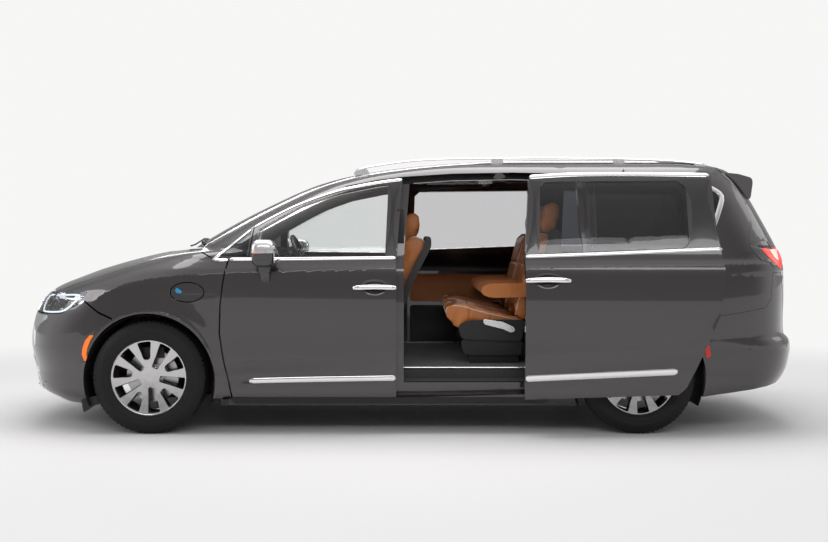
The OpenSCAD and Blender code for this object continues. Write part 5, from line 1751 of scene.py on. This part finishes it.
class MakeStage(Make):
    """Sets the floor, the backdrop, the lights and the camera"""
    bl_idname = "minivan.make_stage"
    bl_label = "Studio"

    def floor_finish(self, base, wall):
        """Pale floor that runs into the backdrop far away and keeps the shadow near by."""
        s = Shader("studio_floor")
        tone = s.noise(0.4)
        plain = s.node("BsdfPrincipled", None, {"Base Color": s.between(tone, lit(base, 0.985), base),
                                                "Roughness": 0.6})
        far = s.node("Emission", None, {0: wall, 1: 1.0})
        x, y = s.axis(0), s.axis(1)
        reach = (x * x + y * y * 1.6) ** 0.5
        fade = s.node("MapRange", {"interpolation_type": "SMOOTHSTEP"}, {0: reach, 1: 2.6, 2: 8.0})
        return s.finish(s.node("MixShader", None, {0: fade, 1: plain, 2: far}))

    def backdrop(self, tree, wall):
        """Pale to the eye and in reflections from behind, dark towards the studio's own side."""
        s = Shader("", tree)
        way = s.node("TexCoord", output=0)
        side = s.node("Math", {"operation": "ABSOLUTE"}, {0: s.node("SeparateXYZ", None, {0: way}, 1)})
        up = s.node("SeparateXYZ", None, {0: way}, 2)
        dark = s.node("MapRange", {"interpolation_type": "SMOOTHSTEP"}, {0: side, 1: 0.1, 2: 0.6})
        low = s.node("MapRange", {"interpolation_type": "SMOOTHSTEP"}, {0: up, 1: 0.88, 2: 0.55})
        eye = s.node("LightPath", output=0) + s.node("LightPath", output=6)
        room = s.between(dark * low, wall, lit(wall, 0.40))
        gloss = s.node("Background", None, {0: room, 1: 1.0})
        plain = s.node("Background", None, {0: (0.95, 0.96, 1.0), 1: 0.42})
        seen = s.node("Background", None, {0: wall, 1: 1.0})
        mixed = s.node("MixShader", None, {0: s.node("LightPath", output=3) * 1.0, 1: plain, 2: gloss})
        s.node("OutputWorld", None, {0: s.node("MixShader", None, {0: eye, 1: mixed, 2: seen})})

    def execute(self, context):
        stage = context.scene.minivan_stage
        reach = 40.0
        points = [(x, y, 0.0) for x in (-reach, reach) for y in (-reach, reach)]
        floor = bpy.data.objects.new("studio_floor", mesh_from("studio_floor", points, [(0, 2, 3, 1)]))
        floor.data.materials.append(self.floor_finish(tuple(stage.floor), tuple(stage.wall)))
        context.scene.collection.objects.link(floor)

        world = bpy.data.worlds.new("studio")
        context.scene.world = world
        world.use_nodes = True
        self.backdrop(world.node_tree, tuple(stage.wall))

        for name, place, aim, power, wide, deep in (
                ("overhead", (0, 0.2, 4.8), (0, 0, 0.5), 230, 6.5, 3.0),
                ("camera_side", (-0.5, 7.0, 4.4), (0, 0, 0.7), 105, 8.0, 1.2),
                ("front_side", (6.5, 2.0, 3.2), (1, 0, 0.8), 60, 2.5, 2.5),
                ("tail_side", (-6.5, -1.0, 3.2), (-1, 0, 0.8), 20, 2.5, 2.5),
                ("far_side", (0.5, -7.0, 4.4), (0, 0, 0.7), 100, 8.0, 1.2)):
            lamp = bpy.data.lights.new(name, "AREA")
            lamp.shape, lamp.size, lamp.size_y, lamp.energy = "RECTANGLE", wide, deep, power
            light = bpy.data.objects.new(name, lamp)
            light.location = place
            light.rotation_euler = (Vector(aim) - Vector(place)).to_track_quat("-Z", "Y").to_euler()
            context.scene.collection.objects.link(light)

        lens_mm, down = 48.4, 1.8
        camera = bpy.data.cameras.new("camera")
        camera.lens, camera.sensor_width, camera.clip_end = lens_mm, 36, 200
        view = bpy.data.objects.new("camera", camera)
        view.location = (-0.053, stage.distance, stage.height)
        view.rotation_euler = (math.radians(90 - down), 0, math.radians(180))
        context.scene.collection.objects.link(view)
        context.scene.camera = view
        context.scene.view_settings.view_transform = "Standard"
        return {"FINISHED"}


STEPS = [MakeStage, MakePanels, MakeGlass, MakeTyres, MakeWheels, MakeTrims, MakeLamps, MakeFittings,
         MakeSeats, MakeCabin, FinishCarried]


class MinivanPanel(bpy.types.Panel):
    """Lists the minivan's settings and steps"""
    bl_idname = "VIEW3D_PT_minivan"
    bl_label = "Minivan"
    bl_space_type = "VIEW_3D"
    bl_region_type = "UI"
    bl_category = "Minivan"

    def draw(self, context):
        for group in (context.scene.minivan_finish, context.scene.minivan_sizes, context.scene.minivan_stage):
            box = self.layout.box()
            for key in group.__annotations__:
                box.prop(group, key)
        for step in STEPS:
            self.layout.operator(step.bl_idname)


GROUPS = {"minivan_finish": MinivanFinish, "minivan_sizes": MinivanSizes, "minivan_stage": MinivanStage}


def register():
    for group in GROUPS.values():
        bpy.utils.register_class(group)
    for key, group in GROUPS.items():
        setattr(bpy.types.Scene, key, bpy.props.PointerProperty(type=group))
    for step in STEPS + [MinivanPanel]:
        bpy.utils.register_class(step)


def unregister():
    for step in reversed(STEPS + [MinivanPanel]):
        bpy.utils.unregister_class(step)
    for key, group in GROUPS.items():
        delattr(bpy.types.Scene, key)
        bpy.utils.unregister_class(group)


def main():
    register()
    mix_finishes(bpy.context.scene.minivan_finish)
    for step in STEPS:
        getattr(bpy.ops.minivan, step.bl_idname.split(".")[1])()


if __name__ == "__main__":
    main()
